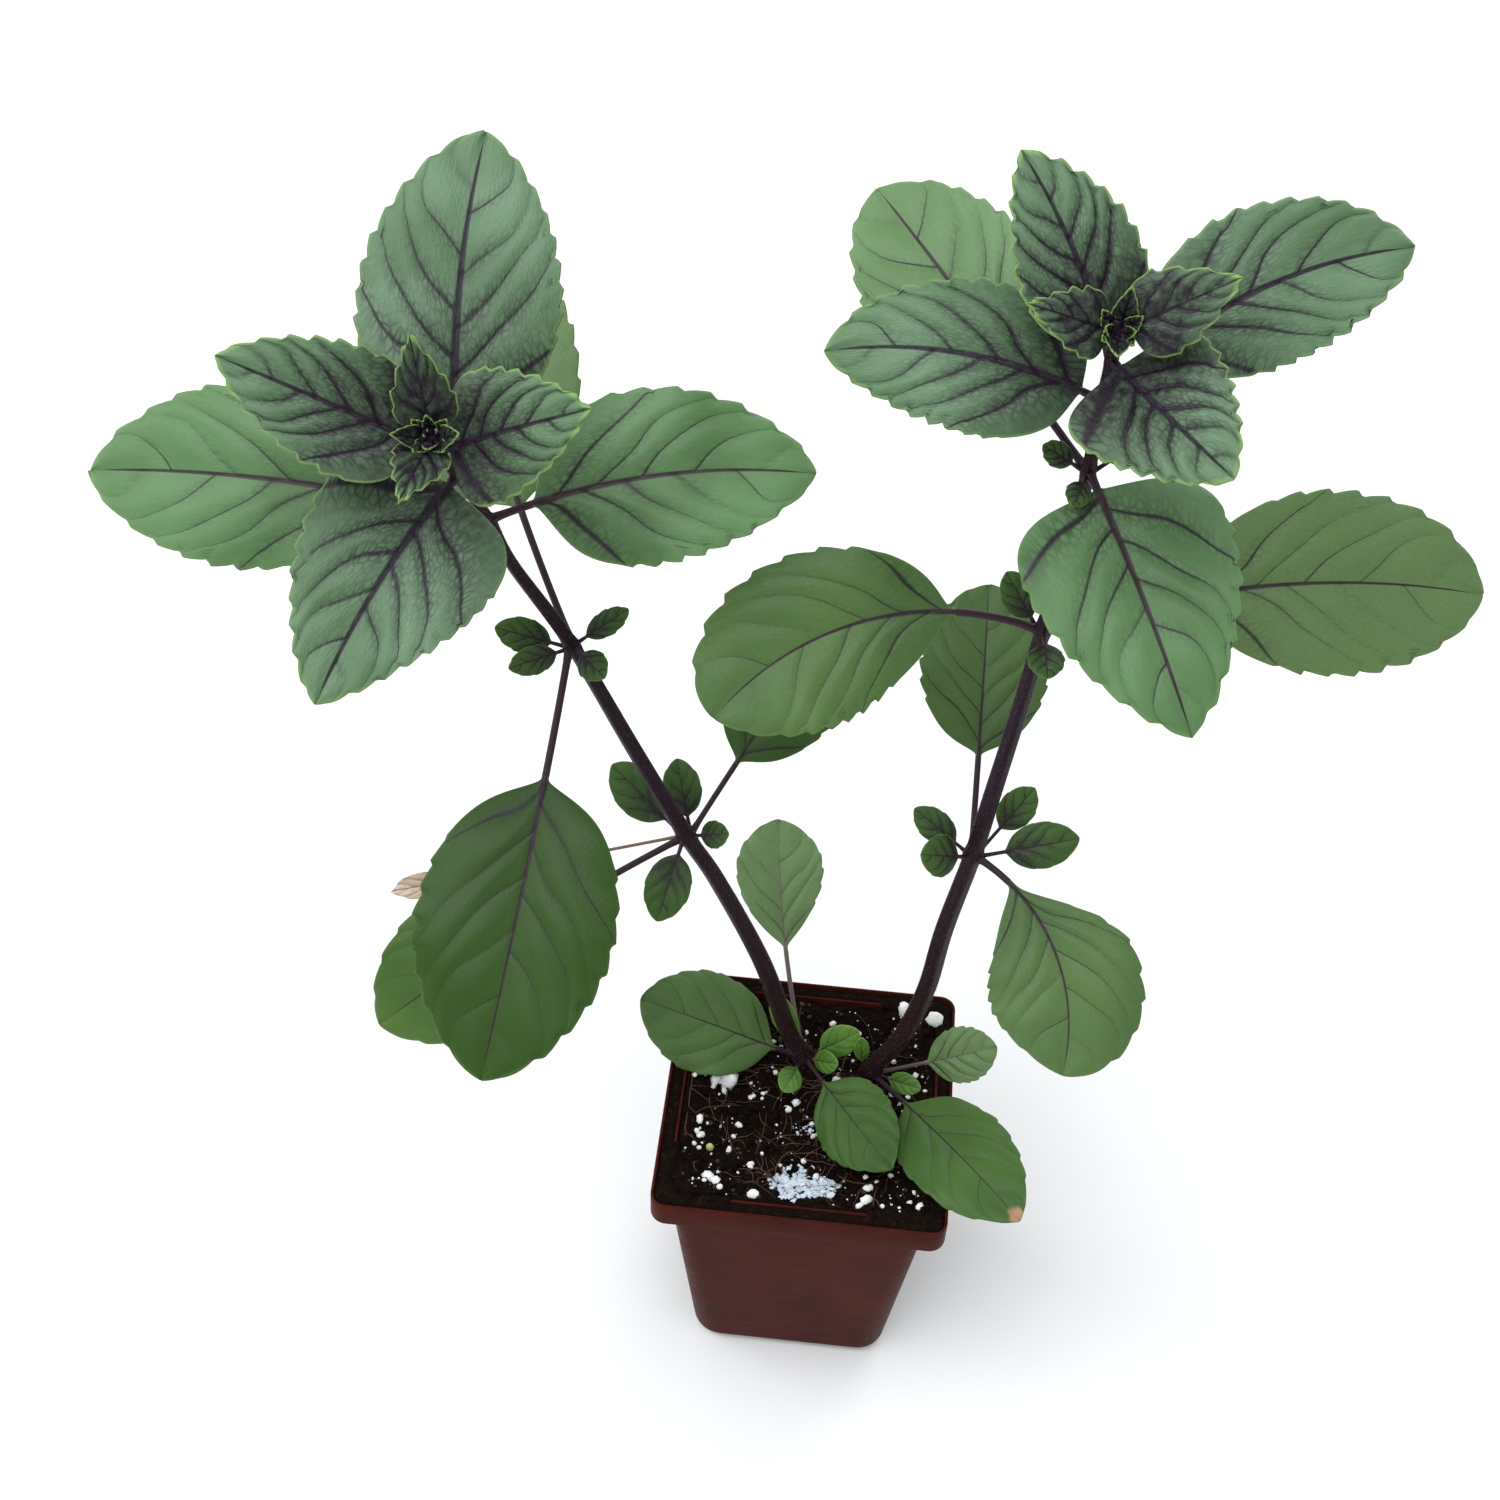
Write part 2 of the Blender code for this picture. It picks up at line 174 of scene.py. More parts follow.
# %% Meshes from shapes
def put(name, shape, skin, slot, *nodes):
    """A mesh object with this shape and material. It rides on the root body and stands for the nodes."""
    mesh = bpy.data.meshes.new(name)
    corners = np.concatenate([block.ravel() for block in shape.faces])
    sizes = np.concatenate([np.full(len(block), block.shape[1]) for block in shape.faces])
    mesh.vertices.add(len(shape.points))
    mesh.vertices.foreach_set("co", (shape.points * MM).astype(np.float32).ravel())
    mesh.loops.add(len(corners))
    mesh.loops.foreach_set("vertex_index", corners.astype(np.int32))
    mesh.polygons.add(len(sizes))
    mesh.polygons.foreach_set("loop_start", np.r_[0, np.cumsum(sizes)[:-1]].astype(np.int32))
    for key, values in shape.notes.items():
        kept = mesh.attributes.new(key, "FLOAT_VECTOR", "POINT")
        kept.data.foreach_set("vector", values.astype(np.float32).ravel())
    mesh.update(calc_edges=True)
    mesh.shade_smooth()
    mesh.materials.append(skin)
    piece = bpy.data.objects.new(name, mesh)
    bpy.context.scene.collection.objects.link(piece)
    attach(piece, "root")
    if nodes:
        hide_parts(*nodes)
    print(name, "has", triangles(shape), "triangles")
    return piece


# %% [markdown]
# ## Chance that comes out the same each time
#
# Soil and leaves are never regular. A table of random numbers with a fixed seed, blended smoothly
# between its cells, gives bumps of a chosen width that are the same on every run.

# %% Smooth random bumps
CELLS = 64


def bumps(x, y, cell, seed):
    """Heights from 0 to 1 that change over about `cell`: random corners, blended by 3t^2 - 2t^3."""
    table = np.random.default_rng(seed).random((CELLS, CELLS))
    u, v = x / cell + (CELLS + 1) / 2, y / cell + (CELLS + 1) / 2
    i, j = np.floor(u).astype(int), np.floor(v).astype(int)
    a, b = u - i, v - j
    a, b = a * a * (3 - 2 * a), b * b * (3 - 2 * b)
    low = table[i % CELLS, j % CELLS] * (1 - a) + table[(i + 1) % CELLS, j % CELLS] * a
    high = table[i % CELLS, (j + 1) % CELLS] * (1 - a) + table[(i + 1) % CELLS, (j + 1) % CELLS] * a
    return low * (1 - b) + high * b


def ease(low, high, value):
    """0 below `low`, 1 above `high`, and a smooth step between."""
    share = np.clip((value - low) / (high - low), 0, 1)
    return share * share * (3 - 2 * share)


print("bumps 2 mm wide, read at each mm:", bumps(np.arange(5.0), np.zeros(5), 2, 1).round(2))

# %% [markdown]
# ## Materials are written with one helper
#
# A material here is a chain of shader nodes. `add` makes one node, sets it up, links what feeds it,
# and hands back its output, so that a chain reads from top to bottom. Colours are given as people
# read them off a screen, in sRGB hex, and turned to the linear values that the renderer works in.

# %% Colours and nodes
def linear(code):
    """Linear red, green, blue and alpha of an sRGB hex colour."""
    parts = np.array([int(code[start:start + 2], 16) for start in (0, 2, 4)]) / 255
    return (*np.where(parts <= 0.04045, parts / 12.92, ((parts + 0.055) / 1.055) ** 2.4), 1.0)


def feed(tree, node, inputs):
    """Sets or links each input of a node: a value, a hex colour, or another node's output."""
    for key, value in inputs.items():
        if isinstance(value, bpy.types.NodeSocket):
            tree.links.new(value, node.inputs[key])
        else:
            node.inputs[key].default_value = linear(value) if isinstance(value, str) else value


def add(tree, kind, inputs, out=0, **settings):
    """One shader node with its settings and what feeds it. Gives its output."""
    node = tree.nodes.new("ShaderNode" + kind)
    for key, value in settings.items():
        setattr(node, key, value)
    feed(tree, node, inputs)
    return node.outputs[out]


def finish_of(name, **constants):
    """A new material, with constants set on its Principled shader. Gives its tree and that shader too."""
    made = bpy.data.materials.new(name)
    made.use_nodes = True
    shader = made.node_tree.nodes["Principled BSDF"]
    feed(made.node_tree, shader, {key.replace("_", " "): value for key, value in constants.items()})
    return made, made.node_tree, shader


def mix(first, second):
    """The colour sockets of a Mix node, A and B, which it numbers 6 and 7."""
    return {6: first, 7: second}


print("hex 808080 is", round(linear("808080")[0], 3), "in linear light")

# %% [markdown]
# ## The pot
#
# The pot is one thin polypropylene moulding, 89 mm across its folded rim and 99 mm tall. Its wall
# tapers, its corners are round, and the rim is a flat flange with a lip outside and, along the
# middle of each side, a low ridge inside, so that pots stack without jamming. It could be a cube cut
# with Booleans, but a profile of rings is truer: each ring is a square with round corners, and the
# profile says how far out and how high it lies. Only the drain holes are cut afterwards.

# %% Rings of the pot
POT_WIDTH, POT_HEIGHT, POT_FOOT, POT_WALL = 89.0, 99.0, 63.0, 1.0
FOOT_ROUND, FOOT_CORNER, RIM_CORNER = 5.0, 9.0, 5.0
RIM_DROP, RIM_REACH, RIM_SLOT = 9.5, 4.5, 1.6


def rounded_square(half, corner, height, corner_steps=10, side_steps=40):
    """One level ring: four quarter circles joined by straight sides, with points all along."""
    turn = np.linspace(0, np.pi / 2, corner_steps + 1)
    arc = np.stack([np.cos(turn), np.sin(turn)], axis=1) * corner + (half - corner)
    side = np.linspace(half - corner, corner - half, side_steps + 2)[1:-1]
    quarter = np.vstack([arc, np.stack([side, np.full(side_steps, half)], axis=1)])
    spins = [np.array([[c, -s], [s, c]]) for c, s in ((1, 0), (0, 1), (-1, 0), (0, -1))]
    ring = np.vstack([quarter @ spin.T for spin in spins])
    return np.column_stack([ring, np.full(len(ring), height)])


def pot_half(height):
    """Half the body's width at a height: it widens evenly from the foot to the flange's inner edge."""
    top = POT_WIDTH / 2 - RIM_REACH
    return POT_FOOT / 2 + (top - POT_FOOT / 2) * height / POT_HEIGHT


def pot_corner(height):
    """Radius of the body's corners at a height: it shrinks evenly from the foot to the rim."""
    return FOOT_CORNER + (RIM_CORNER - FOOT_CORNER) * height / POT_HEIGHT


def softened(profile, reach):
    """The profile with each corner cut back by `reach` both ways and bent through three points."""
    def cut_back(way):
        """The way as far as `reach`, or a third of it if that is less."""
        length = np.linalg.norm(way, axis=1, keepdims=True)
        return way * (np.minimum(reach, length / 3) / length)

    here = profile[1:-1]
    back, on = cut_back(profile[:-2] - here), cut_back(profile[2:] - here)
    bent = np.stack([here + back, here + back / 4 + on / 4, here + on], axis=1).reshape(-1, 3)
    return np.vstack([profile[:1], bent, profile[-1:]])


def foot_arc(turns, wall):
    """Rows (half width, corner, height) round the foot, `wall` inside the outer skin."""
    turn = np.radians(turns)
    inset = FOOT_ROUND * (1 - np.sin(turn))
    height = wall + FOOT_ROUND * (1 - np.cos(turn))
    return np.stack([pot_half(height) - wall - inset, pot_corner(height) - wall - inset / 2, height], axis=1)


print("the wall leans out from", POT_FOOT / 2, "to", pot_half(POT_HEIGHT), "mm from the middle")

# %% Profile of the pot
EDGE = 0.35
RIDGE_STOPS = 20.0
top, outer = POT_HEIGHT, POT_WIDTH / 2
fold = top - RIM_SLOT - POT_WALL
neck = pot_half(fold)
lip = RIM_CORNER - POT_WALL
rim = np.array([                                    # half width, corner radius, height
    (neck - 0.4, pot_corner(fold), fold - 6),       # up the wall
    (neck, pot_corner(fold), fold),                 # under the flange
    (outer - POT_WALL, lip, fold),
    (outer - POT_WALL, lip, top - RIM_DROP),        # down inside the lip
    (outer, RIM_CORNER, top - RIM_DROP),
    (outer, RIM_CORNER, top),                       # up outside it
    (outer - POT_WALL * 0.8, lip, top),
    (outer - POT_WALL, lip, top - RIM_SLOT),        # down to the flange
    (neck + 0.1, lip, top - RIM_SLOT),
    (neck + 0.1, lip, top - RIM_SLOT / 2),          # over the ridge
    (neck - 0.7, lip, top - RIM_SLOT / 2),
    (neck - POT_WALL, lip, top - RIM_SLOT - 2),     # down inside the pot
])
middle = (2, 1)
profile = np.vstack([
    [(*middle, 0)],
    foot_arc([0, 15, 30, 45, 60, 75, 90], 0),
    softened(rim, EDGE),
    foot_arc([90, 70, 50, 30, 10], POT_WALL),
    [(*middle, POT_WALL)],
])
rings = np.array([rounded_square(*row) for row in profile])
print("the profile has", len(profile), "rings of", rings.shape[1], "points")

# %% Ridge along the middle of each side
RIDGE_ENDS = 1.2
along_side = np.abs(rings[..., :2]).min(axis=-1)
on_ridge = (profile[:, 0] < neck + 1) & (profile[:, 2] > top - RIM_SLOT + 0.1)
dips = ease(RIDGE_STOPS, RIDGE_STOPS + RIDGE_ENDS, along_side) * on_ridge[:, None]
rings[..., 2] += (top - RIM_SLOT - rings[..., 2]) * dips
pot_shape = skin_over(rings)
print("the pot is", np.ptp(pot_shape.points, axis=0).round(1), "mm")

# %% [markdown]
# Injection-moulded polypropylene in brick brown is satin, not glossy: the mould is textured and the
# pigment goes all through. Handling has scuffed it in slanting streaks and soil dust clings to it,
# so the colour and the roughness change along fine slanted lines and in small specks. A streak is
# about 3 mm high and fades over 50 mm, so the noise is stretched to those sizes along the slant.

# %% Pot plastic
def moulded_polypropylene():
    """Brick brown, patchy over 20 mm, with pale slanted streaks and dark specks of dust."""
    made, tree, shader = finish_of("moulded_polypropylene_scuffed", IOR=1.49, Specular_IOR_Level=0.03)
    place = add(tree, "TexCoord", {}, "Object")
    x, y, z = (add(tree, "SeparateXYZ", {0: place}, axis) for axis in "XYZ")
    round_it = add(tree, "Math", {0: x, 1: y}, operation="ADD")
    tilted = add(tree, "Math", {0: round_it, 1: -0.46, 2: z}, operation="MULTIPLY_ADD")
    flat = add(tree, "CombineXYZ", {"X": round_it, "Y": tilted})
    slanted = add(tree, "Mapping", {"Vector": flat, "Scale": (20, 330, 1)})
    streaks = add(tree, "TexNoise", {"Vector": slanted, "Scale": 1.0, "Detail": 4.0, "Roughness": 0.65})
    broad = add(tree, "TexNoise", {"Vector": place, "Scale": 45.0, "Detail": 3.0})
    grit = add(tree, "TexVoronoi", {"Vector": place, "Scale": 260.0, "Randomness": 1.0})
    scuff = add(tree, "MapRange", {0: streaks, 1: 0.45, 2: 0.68, 3: 0.0, 4: 0.42})
    patch = add(tree, "MapRange", {0: broad, 1: 0.35, 2: 0.7, 3: 0.0, 4: 1.0})
    speck = add(tree, "MapRange", {0: grit, 1: 0.10, 2: 0.16, 3: 0.8, 4: 0.0})
    dirty = add(tree, "Math", {0: broad, 1: 0.56}, operation="GREATER_THAN")
    dust = add(tree, "Math", {0: speck, 1: dirty}, operation="MULTIPLY")
    brick = "451912"
    for share, colour in ((patch, "36120c"), (scuff, "55261b"), (dust, "2a1a14")):
        brick = add(tree, "Mix", {0: share, **mix(brick, colour)}, 2, data_type="RGBA")
    rough = add(tree, "MapRange", {0: streaks, 1: 0.3, 2: 0.75, 3: 0.34, 4: 0.55})
    mould = add(tree, "TexNoise", {"Vector": place, "Scale": 1400.0, "Detail": 2.0})
    relief = add(tree, "Bump", {"Height": mould, "Strength": 0.12, "Distance": 0.0003})
    relief = add(tree, "Bump", {"Height": streaks, "Normal": relief, "Strength": 0.25, "Distance": 0.0003})
    feed(tree, shader, {"Base Color": brick, "Roughness": rough, "Normal": relief})
    return made


pot = put("pot_shell", pot_shape, moulded_polypropylene(), "pot_plastic", "pot")
pot.data.set_sharp_from_angle(angle=np.radians(40))

# %% Drain holes
DRAIN_SIZE, DRAIN_REACH, DRAIN_SIDES = 9.0, 0.52, 40
reach = POT_FOOT / 2 * DRAIN_REACH
turn = round_turn(DRAIN_SIDES)
circle = np.stack([np.cos(turn), np.sin(turn)], axis=1) * DRAIN_SIZE / 2
plugs = []
for x, y in ((1, 1), (-1, 1), (-1, -1), (1, -1)):
    ends = [np.column_stack([circle + (x * reach, y * reach), np.full(DRAIN_SIDES, z)]) for z in (-2, 4)]
    plugs.append(skin_over(np.array(ends)))
drill = put("drill", joined(plugs), pot.data.materials[0], "pot_plastic")
cut = pot.modifiers.new("drains", "BOOLEAN")
cut.object = drill
cut.operation = "DIFFERENCE"
drilled = bpy.data.meshes.new_from_object(pot.evaluated_get(bpy.context.evaluated_depsgraph_get()))
pot.modifiers.clear()
pot.data = drilled
bpy.data.objects.remove(drill)
print("pot drilled:", len(drilled.polygons), "faces")

# %% [markdown]
# ## The potting mix
#
# Peat with bark and perlite fills the pot. It lies lowest in the middle, where water is poured, and
# climbs the walls and corners. The surface is a field of heights over square rings, from the middle
# out to the wall, which then turns down inside the pot to its floor. Heights add bumps from 9 mm
# down to 1 mm wide, as clods, crumbs and grains do.

# %% Soil
GAP = 0.3
SOIL_TOP = 90.0
SOIL_RISE, SOIL_SLOPE, SOIL_SIDES = 6.0, 15.0, 84
CORNER_RISE, CORNER_STARTS, CORNER_STOPS = 1.6, 20, 34


def soil_height(x, y):
    """Height of the mix: a hollow that climbs near the walls, with clods, crumbs and grains on it."""
    wall = pot_half(SOIL_TOP) - POT_WALL - np.maximum(np.abs(x), np.abs(y))
    climb = SOIL_RISE * (1 - ease(0, SOIL_SLOPE, wall))
    corner = CORNER_RISE * ease(CORNER_STARTS, CORNER_STOPS, np.minimum(np.abs(x), np.abs(y)))
    clods = 2.2 * (bumps(x, y, 9, 1) - 0.5)
    crumbs = 1.7 * (bumps(x, y, 3.1, 2) - 0.5) + 1.1 * np.abs(bumps(x, y, 1.7, 3) - 0.5)
    grains = 0.8 * (bumps(x, y, 0.9, 4) - 0.5)
    return SOIL_TOP + 0.6 + climb + corner + clods + crumbs + grains


inner = neck - POT_WALL - GAP / 2
shares = np.linspace(0.01, 1, 76)
rings = [rounded_square(inner * share, lip * share, 0, side_steps=SOIL_SIDES) for share in shares]
for ring in rings:
    ring[:, 2] = soil_height(ring[:, 0], ring[:, 1])
below_top = SOIL_TOP - 4
along_wall = pot_half(below_top) - POT_WALL - GAP
down_the_wall = [(along_wall, lip, below_top), *foot_arc([90, 60, 30, 0], POT_WALL + GAP)]
rings += [rounded_square(*row, side_steps=SOIL_SIDES) for row in down_the_wall]
soil_shape = skin_over(np.array(rings))
print("the mix is highest at", soil_shape.points[:, 2].max().round(1), "mm, in the corners")

# %% [markdown]
# Damp peat is almost black and has no shine of its own, but wet fibres glint. The colour is driven
# by two scales of noise, near-black crumbs 2 mm wide with red-brown threads, and the bump breaks up
# what little light comes back.

# %% Potting mix material
def damp_peat():
    """Two near-blacks mixed by crumbs, then red-brown where the threads are strong."""
    made, tree, shader = finish_of("damp_peat", Roughness=0.9, Specular_IOR_Level=0.06)
    place = add(tree, "TexCoord", {}, "Object")
    crumbs = add(tree, "TexNoise", {"Vector": place, "Scale": 420.0, "Detail": 6.0, "Roughness": 0.7})
    threads = add(tree, "TexNoise", {"Vector": place, "Scale": 190.0, "Detail": 3.0, "Distortion": 4.0})
    brown = add(tree, "MapRange", {0: threads, 1: 0.55, 2: 0.75, 3: 0.0, 4: 0.8})
    dark = add(tree, "Mix", {0: crumbs, **mix("040302", "1b120c")}, 2, data_type="RGBA")
    both = add(tree, "Mix", {0: brown, **mix(dark, "351d12")}, 2, data_type="RGBA")
    relief = add(tree, "Bump", {"Height": crumbs, "Strength": 0.9, "Distance": 0.0008})
    feed(tree, shader, {"Base Color": both, "Normal": relief})
    return made


peat = damp_peat()
put("potting_mix", soil_shape, peat, "potting_mix", "soil")

# %% [markdown]
# ## What lies on the mix
#
# Perlite is volcanic glass puffed up in a furnace: white, brittle lumps from 1 to 9 mm. There are
# hundreds, so each has only 49 faces: a coarse ball, squashed and dented at random. The same
# lumps in brown are crumbs of peat and bark, and in pale blue they are the crust of spilled
# fertiliser. The largest lumps have chosen places; the rest are scattered.

# %% Lumps
LUMP_ROWS, LUMP_SIDES = 6, 7


def lumps(places, sizes, seed, flat=0.75, dent=0.35):
    """Coarse balls, each dented and stretched at random, then tipped, turned, scaled and put in place."""
    dice = np.random.default_rng(seed)
    count = len(places)
    slope = (np.pi * (np.arange(LUMP_ROWS) + 0.5) / LUMP_ROWS)[:, None]
    turn = round_turn(LUMP_SIDES)
    ball = stacked(np.sin(slope) * np.cos(turn), np.sin(slope) * np.sin(turn), np.cos(slope))
    balls = ball * (1 - dent * dice.random((count, LUMP_ROWS, LUMP_SIDES, 1)))
    long, broad, high = (dice.uniform(*ends, count) for ends in ((0.8, 1.25), (0.7, 1), (0.8, 1.2)))
    balls *= stacked(long, broad, high * flat)[:, None, None]
    spin, tip = dice.uniform(0, 2 * np.pi, count), dice.normal(0, 0.35, count)
    spin, tip = spin[:, None, None], tip[:, None, None]
    x, y, z = np.moveaxis(balls, -1, 0)
    x, z = x * np.cos(tip) - z * np.sin(tip), x * np.sin(tip) + z * np.cos(tip)
    x, y = x * np.cos(spin) - y * np.sin(spin), x * np.sin(spin) + y * np.cos(spin)
    balls = stacked(x, y, z) * (np.asarray(sizes) / 2)[:, None, None, None]
    return joined([skin_over(rows) for rows in balls + np.asarray(places)[:, None, None]])


def on_mix(x, y, size):
    """Places for lumps of these sizes: their middles stand a little way above the mix."""
    return stacked(x, y, soil_height(x, y) + size * 0.15)


def scattered(count, sizes, seed, reach=37.0):
    """Places on the mix, and sizes between the two given, small ones more often."""
    dice = np.random.default_rng(seed)
    x, y = dice.uniform(-reach, reach, (2, count))
    size = sizes[0] + (sizes[1] - sizes[0]) * dice.random(count) ** 2.5
    return on_mix(x, y, size), size


def chosen(spots):
    """Chosen spots (x, y, size) as places on the mix, and their sizes."""
    x, y, size = np.array(spots, float).T
    return on_mix(x, y, size), size


print("one lump has", triangles(lumps([(0, 0, 0)], [1], 0)), "triangles")

# %% Perlite
LARGE_PERLITE = [
    (-26, 7.5, 9.5), (-30, 6, 5.5), (-27, 4, 3), (28, 37.5, 7), (30, 35, 4), (38, 34.5, 7.5),
    (-28, -31, 4.4), (-26, -32, 3.6), (20, -34, 4.6), (-14, -36, 4.4), (20.5, -27, 3.6),
    (-33, -11, 3.4), (-32, -15, 3), (-4, 3, 4.2), (-6.5, 0, 3.4), (8, 12, 3.6), (-21, -8, 2.8),
    (36, -35, 3.4), (33, -33, 2.6), (18, -36, 3), (26, 22, 2.4), (29, 5, 2.6), (30, 1, 2.4),
    (0, -18, 2.8), (-16, -22, 3), (24, -10, 2.4), (33, 15, 2.6), (14, 30, 2.6),
]


def matt_lump(name, first, second, rough, glow):
    """A dry, porous mineral: two close colours mottled at 1 mm, and pores as bump."""
    made, tree, shader = finish_of(name, Roughness=rough, Subsurface_Weight=glow, Subsurface_Scale=0.001)
    place = add(tree, "TexCoord", {}, "Object")
    mottle = add(tree, "TexNoise", {"Vector": place, "Scale": 900.0, "Detail": 4.0})
    both = add(tree, "Mix", {0: mottle, **mix(first, second)}, 2, data_type="RGBA")
    relief = add(tree, "Bump", {"Height": mottle, "Strength": 0.6, "Distance": 0.0003})
    feed(tree, shader, {"Base Color": both, "Normal": relief})
    return made


perlite_skin = matt_lump("expanded_perlite", "ffffff", "e6e3dd", 0.9, 0.1)
put("perlite_large", lumps(*chosen(LARGE_PERLITE), 5), perlite_skin, "potting_mix")
put("perlite_small", lumps(*scattered(300, (0.5, 2.8), 6), 7), perlite_skin, "potting_mix")

# %% Crumbs of peat and bark
put("peat_crumbs", lumps(*scattered(620, (0.8, 3.4), 8), 9, flat=0.8), peat, "potting_mix")
bark_skin = matt_lump("composted_bark", "20130b", "46301f", 0.8, 0.0)
put("bark_crumbs", lumps(*scattered(420, (0.5, 2.2), 14), 15, flat=0.6), bark_skin, "potting_mix")

# %% [markdown]
# Fertiliser was spilled as grains, which water has melted into a crust: one large three-lobed patch
# at the front and a small one behind it. In a patch, grains are placed by a turn and a share of the
# way out, and they are smaller towards its edge. One coated bead has not melted.

# %% Fertiliser
CRUST_GRAINS, IN_SMALL_PATCH = 380, 60
CRUST_STANDS = 0.35
dice = np.random.default_rng(10)
turn, out = dice.uniform(0, 2 * np.pi, CRUST_GRAINS), dice.random(CRUST_GRAINS) ** 0.7
small = np.arange(CRUST_GRAINS) < IN_SMALL_PATCH
x = 1 + np.where(small, 6.5, 10.5) * out * np.cos(turn)
deep = np.where(small, 2.4, 7.6) * (1 + 0.25 * np.cos(3 * turn))
y = np.where(small, -7, -28.5) + deep * out * np.sin(turn)
size = np.where(small, 1.3, 4.4) * dice.random(CRUST_GRAINS) ** 2 * (1 - 0.6 * out)
size += np.where(small, 0.5, 1.0)
crust = stacked(x, y, soil_height(x, y) + CRUST_STANDS)
crust_skin = matt_lump("fertiliser_crystals", "e6edf4", "aebccd", 0.6, 0.1)
put("fertiliser_crust", lumps(crust, size, 11, flat=0.35), crust_skin, "potting_mix")
bead_skin = matt_lump("coated_fertiliser_bead", "c9cf7a", "a9b25c", 0.4, 0.0)
put("fertiliser_bead", lumps(*chosen([(-29, -18.5, 3)]), 12, flat=0.95, dent=0.05), bead_skin, "potting_mix")

# %% [markdown]
# Coir and fine roots lie over the mix as curved threads. Each is a thin four-sided tube along a
# path that bends steadily, which is the cheapest shape that still reads as a fibre.

# %% Fibres
FIBRES, FIBRE_STEPS, FIBRE_REACH = 180, 9, 37


def tubes(paths, radii, sides):
    """Thin tubes along many paths at once: rings across each path, narrowing to its ends."""
    along = unit(np.gradient(paths, axis=1))
    first = unit(np.cross(along, (0.31, 0.17, 0.94)))
    ring = spokes(first, np.cross(along, first), sides)
    narrow = np.sin(np.pi * (np.arange(paths.shape[1]) + 0.6) / (paths.shape[1] + 0.2)) ** 0.5
    rings = paths[:, :, None] + (radii[:, None] * narrow)[..., None, None] * ring
    return joined([skin_over(rows) for rows in rings])


dice = np.random.default_rng(13)
one_each = (FIBRES, 1)
bend = dice.normal(0, 0.16, one_each) * np.arange(FIBRE_STEPS) + dice.uniform(0, 2 * np.pi, one_each)
step = dice.uniform(0.7, 2.2, one_each)
start = dice.uniform(-31, 31, (2, *one_each))
x = np.clip(start[0] + np.cumsum(np.cos(bend) * step, axis=1), -FIBRE_REACH, FIBRE_REACH)
y = np.clip(start[1] + np.cumsum(np.sin(bend) * step, axis=1), -FIBRE_REACH, FIBRE_REACH)
arch = np.sin(np.pi * np.arange(FIBRE_STEPS) / (FIBRE_STEPS - 1))
rise = dice.uniform(0.2, 1.3, one_each) + 0.8 * arch
fibres = tubes(stacked(x, y, soil_height(x, y) + rise), dice.uniform(0.06, 0.16, FIBRES), 4)
put("coir_fibres", fibres, matt_lump("coir_fibre", "3a2418", "6e5038", 0.7, 0.0), "potting_mix")

# %% [markdown]
# Mix has also spilled on to the flange. It fills the channel behind the lip, and in the corners it
# buries the flange and joins the rest. It is one strip that runs round the rim and meets itself: its
# inner edge follows the ridge along the sides and moves inward in the corners.

# %% Spilled mix on the flange
STRIP_SIDES, STRIP_SUNK = 20, 0.25
on_flange = {"corner": lip, "height": top - RIM_SLOT, "corner_steps": 14, "side_steps": 160}
near = rounded_square(neck - 1.6, **on_flange)
beside_ridge = rounded_square(neck + 0.2, **on_flange)
far = rounded_square(outer - POT_WALL - 0.05, **on_flange)
corner = ease(RIDGE_STOPS - 1, RIDGE_STOPS + 1, np.abs(near[:, :2]).min(axis=1))[:, None]
near = near * corner + beside_ridge * (1 - corner)
turn = round_turn(STRIP_SIDES)
share = (1 + np.cos(turn)) / 2
rings = near[:, None] + (far - near)[:, None] * share[:, None]
x, y = rings[..., 0], rings[..., 1]
crest = 0.3 + 1.3 * bumps(x, y, 2.2, 20) + 0.7 * bumps(x, y, 0.9, 21)
crest = np.minimum(crest * (0.55 + 0.75 * corner), 1.45 + 0.3 * corner)
rings[..., 2] += np.where(np.sin(turn) > 0, crest * np.abs(np.sin(turn)) ** 0.5, -STRIP_SUNK)
put("spilled_mix", hoop_over(rings), peat, "potting_mix")

# %% [markdown]
# ## The stems
#
# Basil belongs to the mint family, so its stem is square with rounded edges and faintly hollow
# faces. A section whose radius swells four times a turn is carried along the stem's line, which is
# the working model's own, and thickens at each joint where leaves spring. A curve object with this
# section as its bevel could do that too, by a radius at each of its points. Worked out as arrays,
# the same rings also tell where each hair is rooted.

# %% Lines of the stems
PLANTING_DEPTH, STEM_BASE, STEM_TOP, FOOT_RISE = 10.0, 5.6, 2.2, 6.0
STEM_LINES = {
    "left": [
        (-1.5, 18.5, -PLANTING_DEPTH), (-3.5, 18, FOOT_RISE), (-8.5, 17, 19), (-18, 15, 55),
        (-32, 13, 92), (-41, 12, 111), (-55, 10, 145), (-70, 5, 186), (-82.5, -1, 216),
        (-86, -7, 234), (-90, -17, 254), (-91.5, -25, 267), (-91.5, -28.5, 272.5),
    ],
    "right": [
        (16.5, 15.5, -PLANTING_DEPTH), (19, 15, FOOT_RISE), (26.5, 14.5, 24), (32, 14, 50),
        (34.5, 13, 80), (39, 11.5, 115), (41.5, 10, 143), (44.5, 7, 180), (46, 4, 206),
        (48, 0, 236), (48.5, -4, 260.5), (47.7, -11, 284), (47.2, -17, 298), (47, -20, 307),
    ],
}
JOINTS = {"left": (1, 5, 7, 9, 10, 11, 12), "right": (1, 5, 8, 10, 11, 12, 13)}


